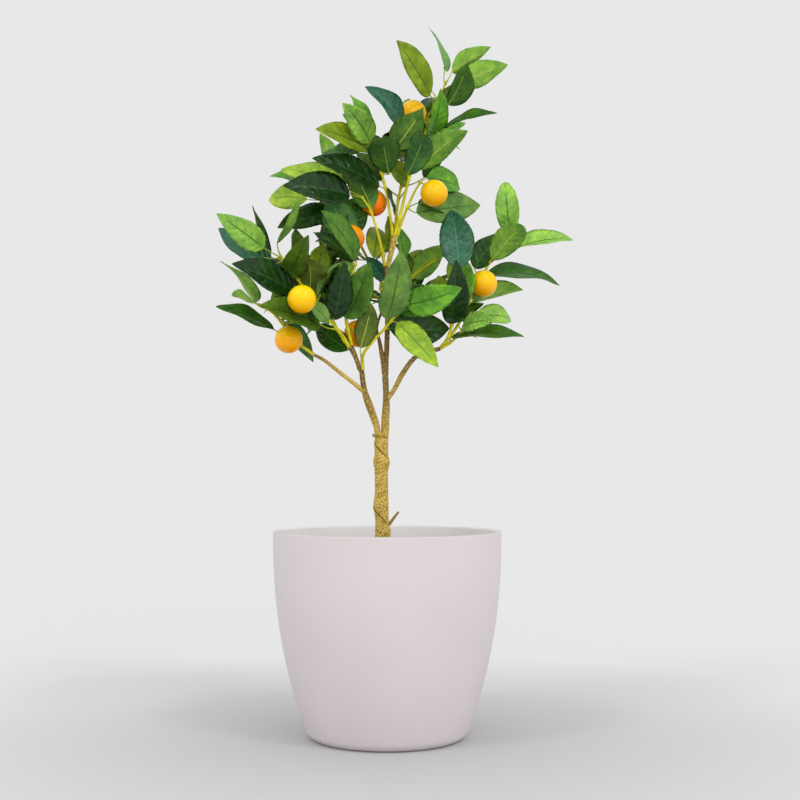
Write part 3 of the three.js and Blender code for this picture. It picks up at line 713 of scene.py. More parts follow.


# Foam ball with a latex skin, satin, with fine pores 1.5 mm apart. Its colour holds painted light: paler
# upwards, darker orange towards the foot.
# On the map "skin" X runs 0 yellow to 1 orange, how ripe the fruit is and for fruit inside the crown also
# painted shade, and Y is the height on the ball, which carries the painted light.
def fruitMaterial():
    material, tree = newMaterial("latex_painted_light")
    place = {"Vector": addNode(tree, "TexCoord").outputs["Object"]}
    skin = addNode(tree, "SeparateXYZ", None, {0: addNode(tree, "UVMap", {"uv_map": "skin"})}).outputs
    patch = addNode(tree, "TexNoise", {"Scale": perMetre(11), "Detail": 2.0}, place)
    pores = addNode(tree, "TexVoronoi", {"Scale": perMetre(1.5)}, place)
    level = addNode(tree, "Math", {"operation": "MULTIPLY_ADD", 1: 0.34}, {0: patch, 2: skin["Y"]})
    yellow = addNode(tree, "ValToRGB", {"stops": fruit["yellow"]}, {"Fac": level})
    orange = addNode(tree, "ValToRGB", {"stops": fruit["orange"]}, {"Fac": level})
    tint = addNode(tree, "Mix", {"data_type": "RGBA"}, {0: skin["X"], 6: yellow, 7: orange})
    bump = addNode(tree, "Bump", {"Strength": 0.12, "Distance": 0.0003}, {"Height": pores})
    return endMaterial(material, {"Roughness": 0.2, "IOR": 1.5, "Specular IOR Level": 0.15,
                                  "Coat Weight": 0.2, "Coat Roughness": 0.14},
                       {"Base Color": tint.outputs[2], "Normal": bump})


toneNames = list(tones)
leafMaterials = [leafMaterial("leaf_cloth_" + name, *values, not name.startswith("under"))
                 for name, values in tones.items()]
paleRib, darkRib = len(tones), len(tones) + 1
leafMaterials += [stemMaterial("pale_rib_plastic", "#a3b845", "#bccb5c"),
                  stemMaterial("dark_rib_plastic", "#73903a", "#8fa84c")]
stemMaterials = [stemMaterial("yellow_sleeve", "#bdb80c", "#e2d91e"),
                 stemMaterial("green_sleeve", "#93a81e", "#b9c236")]
yellowSleeve, greenSleeve = 0, 1

# The blade is widest where t^a (1 - t)^b peaks, at a / (a + b) of its length. A pair of numbers
# is the bounds that a leaf's own value is drawn from.
blade = {
    "width": 0.44,
    "base": 0.62,
    "tip": 0.92,
    "keel": 0.24,
    "keelShares": (0.5, 1.5),
    "arch": 0.05,
    "archShares": (0, 2),
    "thickness": 0.36,
    "teeth": 0.01,
    "puff": 0.32,
    "bend": (-0.04, 0.04),
    "curl": (-0.02, 0.08),
    "twist": (-0.25, 0.25),
    "wave": (0.4, 1.5),
    "leastHalf": 0.25,  # mm added to each half of the width
    "ribRadius": 0.5,  # half the width of the plastic rib under a blade
    "ribEnd": 0.68,
    "grid": (39, 8),  # rings up and strips across
    "hiddenGrid": (10, 2),  # of a leaf that the sprays in front hide
}
small, middle, large, longest = 54, 62, 72, 82  # lengths of blades
stems = {
    "radii": [1.9, 1.0],
    "sides": 8,
    "ringGap": 1.4,
    "knot": 0.55,  # mm that a knot adds to the radius
    "knotSpread": 1.6,
    "petioleRadii": [1.3, 0.62, 0.62, 0.496],
    "petioleSag": (2.5, 0.1),  # at most, and as a share of its length
    "underBlade": 5,  # mm that a petiole runs on under the blade
    "thinSides": 6,  # of petioles and fruit stalks
    "thinRings": 12,
}

# The source's rule for twigs, and the one that carries it on to finer twigs. "sizes" are lengths
# of blades to pick from, or their bounds. "hidden" is the least share of a leaf that sprays in
# front hide, tried at "places", which are shares of its length and of its half width.
twigRule = {
    "from": (0.4, 1),
    "wander": 25,
    "length": (26, 46),
    "leaves": 4,
    "splay": 52,
    "tipSplay": 8,
    "petiole": 7,
    "sizes": [longest, large, middle, small],
    "clearance": 15,
    "hidden": 0.9,
    "places": ((0.1, 0.3, 0.5, 0.7, 0.9), (-0.8, 0, 0.8)),
    "radii": [0.85, 0.68],
    "knots": [0.25, 0.5, 0.75],
}
fineRule = {
    "tries": 80,
    "from": (0.15, 1),
    "outwards": 0.5,
    "rise": 0.3,
    "length": (14, 34),
    "leaves": 4,
    "splay": 52,
    "tipSplay": 10,
    "petiole": 4,
    "sizes": (36, 58),
    "clearance": 7,
    "fruitGap": 6,
    "hidden": 1,
    "places": ((0, 0.2, 0.4, 0.6, 0.8, 1), (-1, 0, 1)),
    "twigPlaces": [0.25, 0.6, 1],
    "radii": [0.68, 0.51],
    "knots": [0.35, 0.7],
    "growth": 1.1,  # of half a mass's own extent
    "reach": 22,  # at least this far from its middle
}
coverPlaces = (np.linspace(0.05, 0.95, 13), (-0.7, -0.35, 0, 0.35, 0.7))
coverReach = 4.2  # how far a point over a leaf screens its surroundings
limbClearance = 9
sprayTones = ["dark", "deep", "middle", "bright", "olive", "moss", "sage", "light"]

# Each mass has one stem and leaves on it:
# (place up the stem, petiole, heading clockwise from up, lean to the front, roll, length, tone).
# A roll past 90 shows the underside, and the tone is that of the face that shows. "root" moves
# the blade's base to x and z from its place on the stem, and "ahead" moves it to the front.
# "width" is a share of the usual one; "tip", "keel", "bend", "curl" and "twist" are as in blade.
# A fruit is its place up the stem, its centre and how orange it is, 0 yellow to 1 orange: how ripe it is, and
# for fruit inside the crown also painted shade. "twigs" is drawn by the source's rule from a seed, and its
# leaves stay within the ellipsoid "space".
masses = {
    "foliage_left_outer": {
        "stem": [[-80.3, -15, 416.9], [-95, -17, 428], [-113, -18, 448], [-124, -20, 461], [-140, -24, 471]],
        "fruit": [(0.36, -106, -42, 431, 0.38)],
        "leaves": [
            (0.35, 25, -70, 30, 58, large, "deep"),
            (1, 8, -67, -50, 110, 50, "light"),
            (0.9, 15, -38, 45, 112, 71, "underLight", {"root": (-9, 5)}),
            (0.7, 6, 143, -30, -160, 58, "underTeal", {"root": (9, -6), "width": 0.8}),
        ],
    },
    "foliage_left_front": {
        "stem": [[-41.6, -20.6, 424.6], [-48, -27, 436], [-58, -38, 447], [-70, -54, 457], [-81, -66, 464]],
        "fruit": [(0.95, -89, -88, 469, 0)],
        "leaves": [
            (0.4, 25, -77, 40, 36, 80, "moss", {"width": 1.1}),
            (0.6, 8, -66, 5, 160, 56, "underMoss"),
            (0.84, 5, -44, 20, 20, 32, "sage", {"root": (11, -12), "width": 1.2}),
            (0.9, 10, 32, 0, -70, 48, "sage", {"root": (3, 12), "bend": 0}),
            (0.35, 15, 13, 30, 15, 66, "black", {"root": (-6, 12)}),
        ],
    },
    "foliage_left_high": {
        "stem": [[-42.8, -15.6, 426.4], [-64, -28, 457], [-88, -38, 485], [-103, -42, 506], [-114, -42, 519]],
        "leaves": [
            (0.05, 4, -50, -30, 10, 55, "dark", {"root": (4, -11), "width": 1.1}),
            (1, 20, -57, 40, 0, 67, "light", {"root": (-18, 9), "width": 0.95}),
            (0.95, 12, -52, -15, 28, 76, "teal", {"root": (-15, -4)}),
            (1, 6, -15, -25, 76, 71, "dark", {"root": (-18, 1)}),
            (0.4, 30, -70, 40, 35, longest, "black", {"width": 1.1}),
            (0.6, 4, -70, -25, 40, 80, "black"),
            (0.56, 4, -59, -35, 45, small, "dark"),
            (0.72, 5, 32, 45, 10, 60, "moss", {"root": (-4, -5), "width": 0.95}),
            (0.65, 20, -4, -35, 45, 53, "moss"),
            (0.4, 4, 4, 60, 155, 71, "underMoss", {"root": (-5, 3), "width": 1.2, "keel": 0.35}),
            (0.4, 35, 3, -30, 10, 50, "olive", {"root": (5, 26), "width": 1.1}),
            (1, 8, 30, 40, 78, 69, "light", {"root": (-4, 15), "width": 0.8, "twist": 0}),
        ],
    },
    "foliage_left_middle": {
        "stem": [[-38.6, -16.4, 425.6], [-45, -24, 456], [-45, -28, 484], [-35, -22, 515], [-40, -16, 536]],
        "fruit": [(0.9, -40, -8, 546, 0.85), (0.15, -33, -1, 441, 0.9)],
        "leaves": [
            (0.2, 10, 24, 20, -10, 68, "middle", {"root": (0, 5), "width": 1.2}),
            (0.75, 4, -39, 35, 42, large, "middle", {"root": (1, 5)}),
            (0.75, 4, -51, -20, 45, 61, "dark"),
            (1, 15, -24, 0, 180, 54, "underTeal", {"root": (-1, 9), "width": 1.6}),
            (1, 15, 15, -20, 10, 48, "dark", {"root": (1, 12), "width": 1.1}),
        ],
    },
    "foliage_upper_left": {
        "stem": [[-3.2, -1.8, 516], [-4.4, -4, 524], [-10, -11, 549], [-18, -16, 574], [-28, -20, 590]],
        "fruit": [(0.75, -15.5, 1, 587, 1)],
        "leaves": [
            (0.75, 8, -27, 5, 175, 50, "underGreen", {"root": (0, 4), "width": 1.35}),
            (1, 15, -87, 30, 14, 78, "black", {"width": 1.05}),
            (0.35, 4, 8, -45, 20, 61, "olive", {"root": (-9, -8)}),
            (1, 20, -71, -20, 34, longest, "lime", {"root": (-19, 12)}),
        ],
    },
    "foliage_crown_left": {
        "stem": [[5.7, -4.3, 549.4], [4, -7, 565], [-1, -11, 595], [-8, -12, 623], [-18, -10, 643]],
        "leaves": [
            (1, 8, -42, 45, 0, 61, "light", {"root": (-1, 8), "width": 1.05}),
            (1, 10, -25, -20, 40, 57, "bright", {"root": (-2, 20), "width": 0.8}),
            (1, 8, -79, 40, 30, 75, "olive", {"root": (-2, 0)}),
            (1, 15, -84, -35, 30, 52, "deep"),
            (0.7, 4, -14, 60, 180, 60, "underDark", {"root": (8, -2), "width": 1.35, "tip": 0.6}),
            (0.55, 8, -72, 30, 35, 85, "black"),
            (0.6, 4, 160, -15, -70, 34, "dark"),
            (0.7, 30, 40, 38, -165, 61, "underGreen",
             {"root": (14, 22), "width": 1.25, "keel": 0.4, "tip": 1.3}),
        ],
    },
    "foliage_top": {
        "stem": [[8.3, -6.6, 549.4], [16, -7, 580], [26, -8, 620],
                 [41, -10, 657], [53, -10, 691], [64, -10, 718]],
        "fruit": [(0.7, 28, -12, 684, 0.3)],
        "leaves": [
            (0.85, 15, -40, 45, 30, 80, "olive", {"root": (-9, 4)}),
            (1, 20, -15, -30, 70, 72, "bright", {"root": (0, 18)}),
            (1, 15, 51, -20, -130, 57, "underLight", {"root": (8, 16)}),
            (0.9, 30, 63, -20, -150, 66, "underLight", {"root": (22, 16)}),
            (0.8, 20, 27, 35, 155, 51, "underDark", {"root": (14, 0), "width": 1.3, "keel": 0.5}),
            (0.6, 4, 16, 42, 40, 56, "bright", {"root": (6, 3)}),
            (0.7, 15, 81, 30, -58, 64, "deep", {"root": (16, -8)}),
            (0.55, 35, -47, 28, 30, 63, "teal", {"root": (-21, 16), "bend": 0.05, "curl": 0, "twist": 0}),
            (0.37, 5, 27, 50, 180, 60, "underTeal", {"root": (-2, 2), "width": 1.1, "tip": 0.6}),
            (0.4, 15, 55, 25, -150, 72, "underLight", {"root": (7, 1), "keel": 0.5}),
        ],
    },
    "foliage_upper_right": {
        "stem": [[10.9, -3.8, 549.4], [15, -5, 563], [22, -10, 580], [30, -12, 597], [37, -12, 609]],
        "fruit": [(0.95, 51, -24, 593, 0.22)],
        "leaves": [
            (0.95, 6, 96, -40, -20, 53, "bright", {"root": (8, 6), "width": 1.3}),
            (0.5, 10, 78, -22, -12, 82, "sage", {"root": (10, -5), "width": 1.1}),
            (0.5, 10, 104, -35, -45, 50, "deep", {"root": (12, 6)}),
        ],
    },
    "foliage_centre": {
        "stem": [[-27, -6.6, 400.6], [-26.6, -10, 417], [-16, -18, 431],
                 [-4, -26, 443], [4, -32, 452], [11, -36, 463]],
        "leaves": [
            (0.65, 10, 12, 35, 20, 83, "sage", {"root": (2, 9), "width": 0.95}),
            (0.8, 15, 12, -20, -30, 68, "middle", {"root": (3, 11)}),
            (1, 8, 76, 25, 8, 67, "bright", {"root": (9, 6), "width": 1.1}),
            (0.8, 4, 139, 25, 0, 70, "lime", {"root": (7, -2), "width": 0.9}),
            (0.6, 6, 88, -20, -10, 71, "dark", {"root": (6, 2), "width": 1.3}),
            (0.8, 10, 80, 5, -40, 56, "deep", {"root": (10, 8)}),
            (0.1, 20, 15, 30, 180, 56, "underMoss", {"root": (-2, 15)}),
            (0.9, 8, 56, -20, 10, 48, "dark", {"root": (0, 9), "width": 1.3}),
        ],
    },
    "foliage_right_high": {
        "stem": [[58.4, -8, 424.6], [68, -8, 440], [75, -4, 473], [77, 0, 503]],
        "leaves": [
            (0.95, 10, -5, -25, 0, 82, "teal", {"root": (1, 10), "width": 1.05, "ahead": 36}),
            (0.45, 4, 3, 35, 20, 78, "black", {"root": (0, 1), "width": 0.9}),
            (0.7, 4, 5, -25, -40, 62, "bright", {"root": (8, -10), "width": 1.1, "ahead": 20}),
            (0.45, 8, -14, -25, 0, small, "olive", {"root": (-2, 12), "width": 1.05}),
            (0.7, 10, -4, -25, 30, 50, "olive"),
        ],
    },
    "foliage_right": {
        "stem": [[59, -4.6, 424.6], [78, -1, 451], [94, 4, 484], [108, 8, 511], [117, 8, 526], [131, 6, 549]],
        "fruit": [(0.45, 106, -8, 496, 0.22)],
        "leaves": [
            (0.55, 4, 39, -20, -15, 62, "dark", {"root": (-8, 10), "width": 1.1}),
            (1, 8, -8, 35, 0, 56, "light", {"root": (5, 4), "curl": 0.25, "width": 1.05, "tip": 0.5}),
            (0.75, 4, 44, 45, -165, 61, "underLight", {"width": 1.15, "tip": 0.6}),
            (0.9, 20, 80, -20, -50, 73, "light", {"root": (20, 2)}),
            (0.65, 4, 94, -10, -57, 88, "deep", {"root": (-2, -9)}),
            (0.35, 4, 70, -30, -120, 71, "underLight"),
        ],
    },
    "foliage_right_low": {
        "stem": [[58.6, -11.6, 424], [70, -15, 431], [83, -14, 443], [95, -9, 456]],
        "leaves": [
            (0.7, 4, 88, 40, -20, 44, "light", {"root": (-2, 4), "curl": -0.12, "width": 1.2}),
            (1, 4, 87, -35, -25, 53, "light", {"root": (4, 4), "curl": 0.12, "width": 1.1}),
            (0.85, 4, 64, -25, -60, 36, "moss", {"root": (-12, 10)}),
            (0.3, 4, 88, 25, -65, 83, "deep", {"root": (1, 6)}),
            (0.65, 4, 51, -40, -45, 52, "deep", {"root": (-5, 10)}),
        ],
    },
    "foliage_behind_top": {
        "stem": [[8.2, -1.4, 549.4], [13, 30, 600], [28, 46, 657], [46, 44, 691]],
        "leaves": [
            (0.6, 30, 54, -20, -30, 56, "bright", {"root": (24, 20)}),
            (0.7, 10, 2, -25, 60, 59, "olive", {"root": (-8, 10)}),
            (0.7, 4, -4, 10, -15, 40, "black", {"root": (10, 10), "width": 1.1}),
            (0.4, 30, 40, 10, -30, 42, "deep", {"root": (26, 10)}),
            (0.3, 4, -52, 40, 10, 44, "olive", {"root": (12, 19), "width": 1.1}),
            (0.33, 25, -38, -20, 20, 50, "moss", {"root": (-20, 20)}),
        ],
        "twigs": {"count": 5, "seed": 4, "facing": 20, "spread": 100, "rise": 35},
        "space": {"centre": [35, 62, 672], "radii": [62, 62, 95]},
    },
    "foliage_behind_left": {
        "stem": [[2.1, 52.6, 490], [-22, 68, 533], [-49, 74, 587], [-72, 66, 626]],
        "leaves": [
            (0.8, 25, -84, -30, 8, 56, "lime", {"root": (-36, 3), "width": 1.3}),
            (0.7, 8, -111, 30, 28, longest, "dark"),
            (0.85, 25, -75, 40, 65, 60, "bright", {"root": (-26, -2)}),
            (0.95, 4, -17, -20, 150, 55, "light", {"root": (6, 15)}),
        ],
        "twigs": {"count": 5, "seed": 14, "facing": -30, "spread": 90, "rise": 20},
        "space": {"centre": [-58, 80, 590], "radii": [75, 62, 75]},
    },
    "foliage_behind_right": {
        "stem": [[5.9, 52.6, 490], [26, 66, 512], [52, 66, 531], [72, 60, 544]],
        "leaves": [
            (0.4, 4, 48, 10, 180, 54, "underLight", {"root": (-5, -3), "width": 1.2}),
            (0.3, 25, -11, 50, 45, 52, "bright", {"root": (-5, 18)}),
            (0.25, 4, 26, -35, 10, small, "olive"),
        ],
        "twigs": {"count": 5, "seed": 1, "facing": 40, "spread": 90, "rise": 15},
        "space": {"centre": [75, 75, 535], "radii": [78, 60, 66]},
    },
    "foliage_behind_low": {
        "stem": [[4, 55.2, 487.6], [-28, 72, 491], [-62, 70, 494], [-95, 58, 500]],
        "leaves": [],
        "twigs": {"count": 5, "seed": 11, "facing": -20, "spread": 100, "rise": 0},
        "space": {"centre": [-62, 75, 492], "radii": [92, 58, 55]},
    },
    "foliage_behind_middle": {
        "stem": [[-4.8, 6.2, 471.5], [-4.6, 8, 474], [-6, 14, 484], [-8, 18, 494]],
        "leaves": [
            (0.95, 4, -40, 25, 10, 35, "teal", {"root": (4, 10), "width": 1.1}),
            (1, 35, 4, 0, 40, 42, "olive", {"root": (6, 40)}),
        ],
    },
}

leafParts, stemParts, fruitParts = [], [], []
placedLeaves, grownTwigs = [], []
fruitPlaces = np.array([row[1:4] for mass in masses.values() for row in mass.get("fruit", [])], float)
limbPlaces = np.linspace(0, 1, 25)
limbAxes = np.concatenate([curvePoints(limb["axis"], limbPlaces) for limb in (trunk, *boughs.values())])
ribPlaces = np.array([0.15, 0.4, 0.65, 0.9])
askew = [0.3, 0.2, 1]  # a direction that no twig or stalk has
undersides = {"lime": "underLight", "light": "underLight", "bright": "underGreen", "olive": "underMoss",
              "middle": "underGreen", "moss": "underMoss"}
uppersides = {"underLight": "bright", "underGreen": "middle", "underMoss": "moss", "underTeal": "deep",
              "underDark": "dark"}


# Rodrigues: v cos a + (k x v) sin a + k (k . v)(1 - cos a).
def turned(vector, axis, angle):
    vector, axis = np.asarray(vector, float), np.asarray(axis, float)
    return (vector * np.cos(angle) + np.cross(axis, vector) * np.sin(angle)
            + axis * (axis @ vector) * (1 - np.cos(angle)))


# The blade's direction and the way its upper face looks, from three angles in degrees.
def leafFrame(heading, lean, roll):
    h, l, r = np.radians([heading, lean, roll])
    along = np.array([np.sin(h) * np.cos(l), -np.sin(l), np.cos(h) * np.cos(l)])
    front = np.array([0, -1.0, 0])
    return along, turned(unit(front - along * (front @ along)), along, r)


# Pointed oval t^a (1 - t)^b, divided by its own peak and scaled to half the leaf's width.
def halfWidth(leaf, t):
    a, b = blade["base"], leaf.get("tip", blade["tip"])
    peak = a / (a + b)
    oval = t ** a * (1 - t) ** b / (peak ** a * (1 - peak) ** b)
    return 0.5 * blade["width"] * leaf.get("width", 1) * leaf["length"] * oval


# One closed leaf, s being -1 to 1 across it. A point is root + along L t + side (h s + bend)
# + face (arch L 4 t (1 - t) - curl L t^3 + keel h |s|^1.3 + puff |sin(pi pairs (t - sweep |s|))|
# + wave + twist), h being half the width. The strip beside the midrib is as wide as the rib.
def leafRings(leaf, rows, columns, random):
    length = leaf["length"]
    t = ((1 - np.cos(np.linspace(0.1, np.pi - 0.08, rows))) / 2)[:, None]
    half = halfWidth(leaf, t) + blade["leastHalf"]
    inner = np.linspace(0, 1, columns // 2 + 1)[None]
    strip = np.clip(blade["ribRadius"] / half, 0.01, 0.5)
    right = strip + (1 - strip) * inner
    upper = np.concatenate([-right[:, ::-1], right], 1)
    lower = upper[:, 1:-1][:, ::-1]
    s = np.concatenate([upper, lower], 1)
    top = np.concatenate([np.ones_like(upper), -np.ones_like(lower)], 1)
    margin = np.abs(s) > 0.99
    tooth = 1 + blade["teeth"] * np.where(np.arange(rows) % 2, 1, -1)[:, None] * margin
    bend = leaf.get("bend", random.uniform(*blade["bend"]))
    curl = leaf.get("curl", random.uniform(*blade["curl"]))
    twist = leaf.get("twist", random.uniform(*blade["twist"]))
    keel = leaf.get("keel", blade["keel"] * random.uniform(*blade["keelShares"]))
    calm = np.clip(half / 8, 0, 1)  # the narrow ends stay smooth
    arch = blade["arch"] * random.uniform(*blade["archShares"])
    rise = arch * length * 4 * t * (1 - t) - curl * length * t ** 3
    relief = blade["puff"] * (np.abs(np.sin(np.pi * veinPairs * (t - veinSweep * np.abs(s)))) - 0.5)
    relief = relief * calm * (1 - np.abs(s) ** 4) * (np.abs(s) > 1.5 * strip)
    wave = random.uniform(*blade["wave"]) * np.sin(2 * np.pi * (1.7 * t + random.uniform(0, 1)) + s)
    wave = wave * s ** 2 * calm
    skin = 0.5 * blade["thickness"] * top * (1 - np.abs(s) ** 6)
    onRib = (np.abs(s) < 1.5 * strip) & (t < blade["ribEnd"])
    groove = np.where(onRib, np.where(top > 0, -0.12, -0.45), 0)
    lift = rise + keel * half * np.abs(s) ** 1.3 + relief + wave + skin + groove
    lift = lift + half * s * np.sin(twist * (t - 0.4))
    across = half * s * tooth + bend * length * 4 * t * (1 - t)
    side = np.cross(leaf["along"], leaf["face"])
    midrib = leaf["root"] + leaf["along"] * (length * t)[..., None]
    points = midrib + side * across[..., None] + leaf["face"] * lift[..., None]
    uv = np.stack(np.broadcast_arrays(t, (s + 1) / 2), -1)
    number = np.full((rows - 1, s.shape[1]), leaf["upper"])
    edges = upper.shape[1]
    number[:, edges - 1:] = leaf["lower"]
    number[:int((t < blade["ribEnd"]).sum()), edges - 1 + lower.shape[1] // 2] = leaf["rib"]
    return tube(points), withEnds(number), withEnds(uv)


# A thin closed tube through points, with radii that run evenly through the listed ones.
def addThin(points, radii, sides, rings):
    t = np.linspace(0, 1, rings)
    stemParts.append((roundTube(points, evenRadii(radii, t), t, sides), greenSleeve, None))


# The petiole leaves its stem at a slant and runs a little way under the blade.
def addLeaf(leaf, grid, random):
    tone = leaf["tone"]
    under = tone if tone in uppersides else undersides.get(tone, "underDark")
    leaf["upper"] = toneNames.index(uppersides.get(tone, tone))
    leaf["lower"] = toneNames.index(under)
    leaf["rib"] = darkRib if under in ("underDark", "underTeal") else paleRib
    leafParts.append(leafRings(leaf, *grid, random))
    along, face, foot, root = leaf["along"], leaf["face"], leaf["foot"], leaf["root"]
    mostSag, sagShare = stems["petioleSag"]
    sag = face * -min(mostSag, sagShare * leaf["petiole"])
    end = root + along * stems["underBlade"] - face * 0.4
    path = [foot, foot + (root - foot) * 0.55 - along + sag, root - face * 0.3, end]
    addThin(path, stems["petioleRadii"], stems["thinSides"], stems["thinRings"])


# A stem whose radius swells by a small bell at each knot up it.
def addStem(points, radii, knots, number):
    length = pathLength(points)
    t = np.linspace(0, 1, max(8, int(length / stems["ringGap"])))
    radius = evenRadii(radii, t)
    for knot in knots:
        radius = radius + stems["knot"] * np.exp(-(((t - knot) * length / stems["knotSpread"]) ** 2))
    stemParts.append((roundTube(points, radius, t, stems["sides"]), number, None))


# A ball r (1 - dimple) with flattened poles, hung from a curved stalk with a small cap.
def addFruit(foot, centre, ripenessAndShade):
    out = unit(centre - foot)
    polar = np.linspace(0.02, np.pi - 0.02, fruit["rings"])[:, None]
    angle = roundAngles(fruit["sides"])[None]
    (depth, spread), (footDepth, footSpread) = fruit["stalkDimple"], fruit["footDimple"]
    dimple = depth * np.exp(-(polar / spread) ** 2) + footDepth * np.exp(-((np.pi - polar) / footSpread) ** 2)
    radius = fruit["radius"] * (1 - dimple + fruit["uneven"] * np.cos(2 * angle + 1) * np.sin(polar) ** 2)
    side = unit(np.cross(-out, askew))
    third = np.cross(-out, side)
    ring = np.cos(angle)[..., None] * side + np.sin(angle)[..., None] * third
    ball = centre + radius[..., None] * (np.cos(polar)[..., None] * -out + np.sin(polar)[..., None] * ring)
    # The height on the ball, which the material turns into painted light, paler upwards.
    height = (ball[..., 2] - centre[2]) / (2 * fruit["radius"]) + 0.5
    fruitParts.append((tube(ball), 0, withEnds(np.stack(np.broadcast_arrays(ripenessAndShade, height), -1))))
    seat = centre - out * (fruit["radius"] - fruit["seatDepth"])
    arched = foot + (seat - foot) * 0.5 + [0, 0, fruit["stalkArch"]]
    addThin([foot, arched, seat], fruit["stalkRadii"], stems["thinSides"], stems["thinRings"])
    outside, inside = fruit["cap"]
    addThin([seat - out * outside, seat + out * inside], fruit["capRadii"], 10, 5)


# Numbers between 0 and 1 from the multiplicative rule state = 16807 state mod (2^31 - 1).
def seededSequence(seed):
    state = seed
    while True:
        state = state * 16807 % 2147483647
        yield state / 2147483647


def midribPoints(leaf):
    return leaf["root"] + leaf["along"] * (leaf["length"] * ribPlaces)[:, None]


# Whether every one of the points is further than this from all the others.
def isOff(points, others, clearance):
    return (np.linalg.norm(points[:, None] - others[None], axis=2) > clearance).all()


# Inside the mass's ellipsoid, off the limbs and off the midribs of the other masses' leaves.
def isClear(leaf, space, name, clearance):
    rib = midribPoints(leaf)
    inSpace = ((((rib - space["centre"]) / space["radii"]) ** 2).sum(1) < 1).all()
    others = [midribPoints(other) for other in placedLeaves if other["mass"] != name]
    return (inSpace and isOff(rib, limbAxes, limbClearance)
            and (not others or isOff(rib, np.concatenate(others), clearance)))


# Places on the image of a camera in front: x and z drawn towards the camera by D / (D + y).
def seenPlaces(points):
    draw = view["distance"] / (view["distance"] + points[..., 1:2])
    return (points[..., [0, 2]] - [0, view["height"]]) * draw


# Places over a blade: up the midrib and this many half widths to each side of it.
def bladePlaces(leaf, shares, sides):
    t = np.array(shares)[:, None]
    off = halfWidth(leaf, t) * np.array(sides)[None]
    side = np.cross(leaf["along"], leaf["face"])
    midrib = leaf["root"] + leaf["along"] * (leaf["length"] * t)[..., None]
    return (midrib + side * off[..., None]).reshape(-1, 3)


# Points over all the leaves placed so far.
def frontCover():
    return np.concatenate([bladePlaces(leaf, *coverPlaces) for leaf in placedLeaves])


# The share of the points that the listed sprays hide from a camera in front.
def hiddenShare(points, cover):
    away = np.linalg.norm(seenPlaces(points)[:, None] - seenPlaces(cover)[None], axis=2)
    return ((away < coverReach) & (cover[None, :, 1] < points[:, None, 1])).any(1).mean()


def isHidden(leaf, rule, cover):
    return hiddenShare(bladePlaces(leaf, *rule["places"]), cover) >= rule["hidden"]


# The k-th leaf of a twig, spun round it from the direction across. "draw" gives a number between
# two bounds.
def twigLeaf(name, rule, foot, along, length, across, k, spin, draw):
    place = (k + 1) / rule["leaves"]
    splay = np.radians(rule["splay"] if place < 1 else rule["tipSplay"])
    direction = along * np.cos(splay) + turned(across, along, spin) * np.sin(splay)
    up = np.array([draw(-0.5, 0.5), draw(-0.5, 0.5), 1.0])
    start = foot + along * (length * place)
    return {
        "mass": name,
        "foot": start,
        "along": direction,
        "face": unit(up - direction * (up @ direction)),
        "petiole": rule["petiole"],
        "root": start + direction * rule["petiole"],
    }


# The twigs of a mass behind, by the same draws as the solids: each has a foot on the stem, a
# turn, a climb and leaves set round it by the golden angle.
def seededTwigs(name, mass, cover):
    twigs, sizes = mass["twigs"], twigRule["sizes"]
    sequence = seededSequence(twigs["seed"])

    def between(low, high):
        return low + (high - low) * next(sequence)

    grown = []
    for i in range(twigs["count"]):
        foot = curvePoints(mass["stem"], (i + between(*twigRule["from"])) / twigs["count"])[0]
        turn = np.radians(twigs["facing"] + between(-twigs["spread"], twigs["spread"]))
        climb = np.radians(twigs["rise"] + between(-twigRule["wander"], twigRule["wander"]))
        along = np.array([np.sin(turn) * np.cos(climb), np.cos(turn) * np.cos(climb), np.sin(climb)])
        length = between(*twigRule["length"])
        across = unit(np.array([0, 0, 1.0]) - along * along[2])
        start = between(0, 360)
        leaves = []
        for k in range(twigRule["leaves"]):
            spin = np.radians(start + k * goldenAngle)
            leaf = twigLeaf(name, twigRule, foot, along, length, across, k, spin, between)
            leaf["length"] = sizes[int(between(0, len(sizes)))]
            if isClear(leaf, mass["space"], name, twigRule["clearance"]) and isHidden(leaf, twigRule, cover):
                leaves.append(leaf)
        placedLeaves.extend(leaves)
        if leaves:
            grown.append((foot, foot + along * length, leaves))
            grownTwigs.append((name, foot, foot + along * length))
    return grown


# A mass's stem, fruit and listed leaves, and the twigs that the source's rule gives it.
def growMass(name, mass, random):
    fruits = mass.get("fruit", [])
    knots = [row[0] for row in mass["leaves"]] + [row[0] for row in fruits]
    addStem(mass["stem"], stems["radii"], knots, yellowSleeve)
    for at, x, y, z, ripenessAndShade in fruits:
        addFruit(curvePoints(mass["stem"], at)[0], np.array([x, y, z], float), ripenessAndShade)
    for at, petiole, heading, lean, roll, length, tone, *extra in mass["leaves"]:
        along, face = leafFrame(heading, lean, roll)
        foot = curvePoints(mass["stem"], at)[0]
        root = foot + along * petiole
        leaf = {"mass": name, "foot": foot, "along": along, "face": face, "petiole": petiole,
                "root": root, "length": length, "tone": tone}
        for own in extra:
            leaf.update(own)
            if "root" in own:
                x, z = own["root"]
                leaf["root"] = np.array([foot[0] + x, root[1] - own.get("ahead", 0), foot[2] + z])
        placedLeaves.append(leaf)
        addLeaf(leaf, blade["grid"], random)
    if "twigs" in mass:
        for foot, tip, leaves in seededTwigs(name, mass, frontCover()):
            addStem([foot, tip], twigRule["radii"], twigRule["knots"], greenSleeve)
            for leaf in leaves:
                leaf["tone"] = sprayTones[random.integers(len(sprayTones))]
                addLeaf(leaf, blade["hiddenGrid"], random)


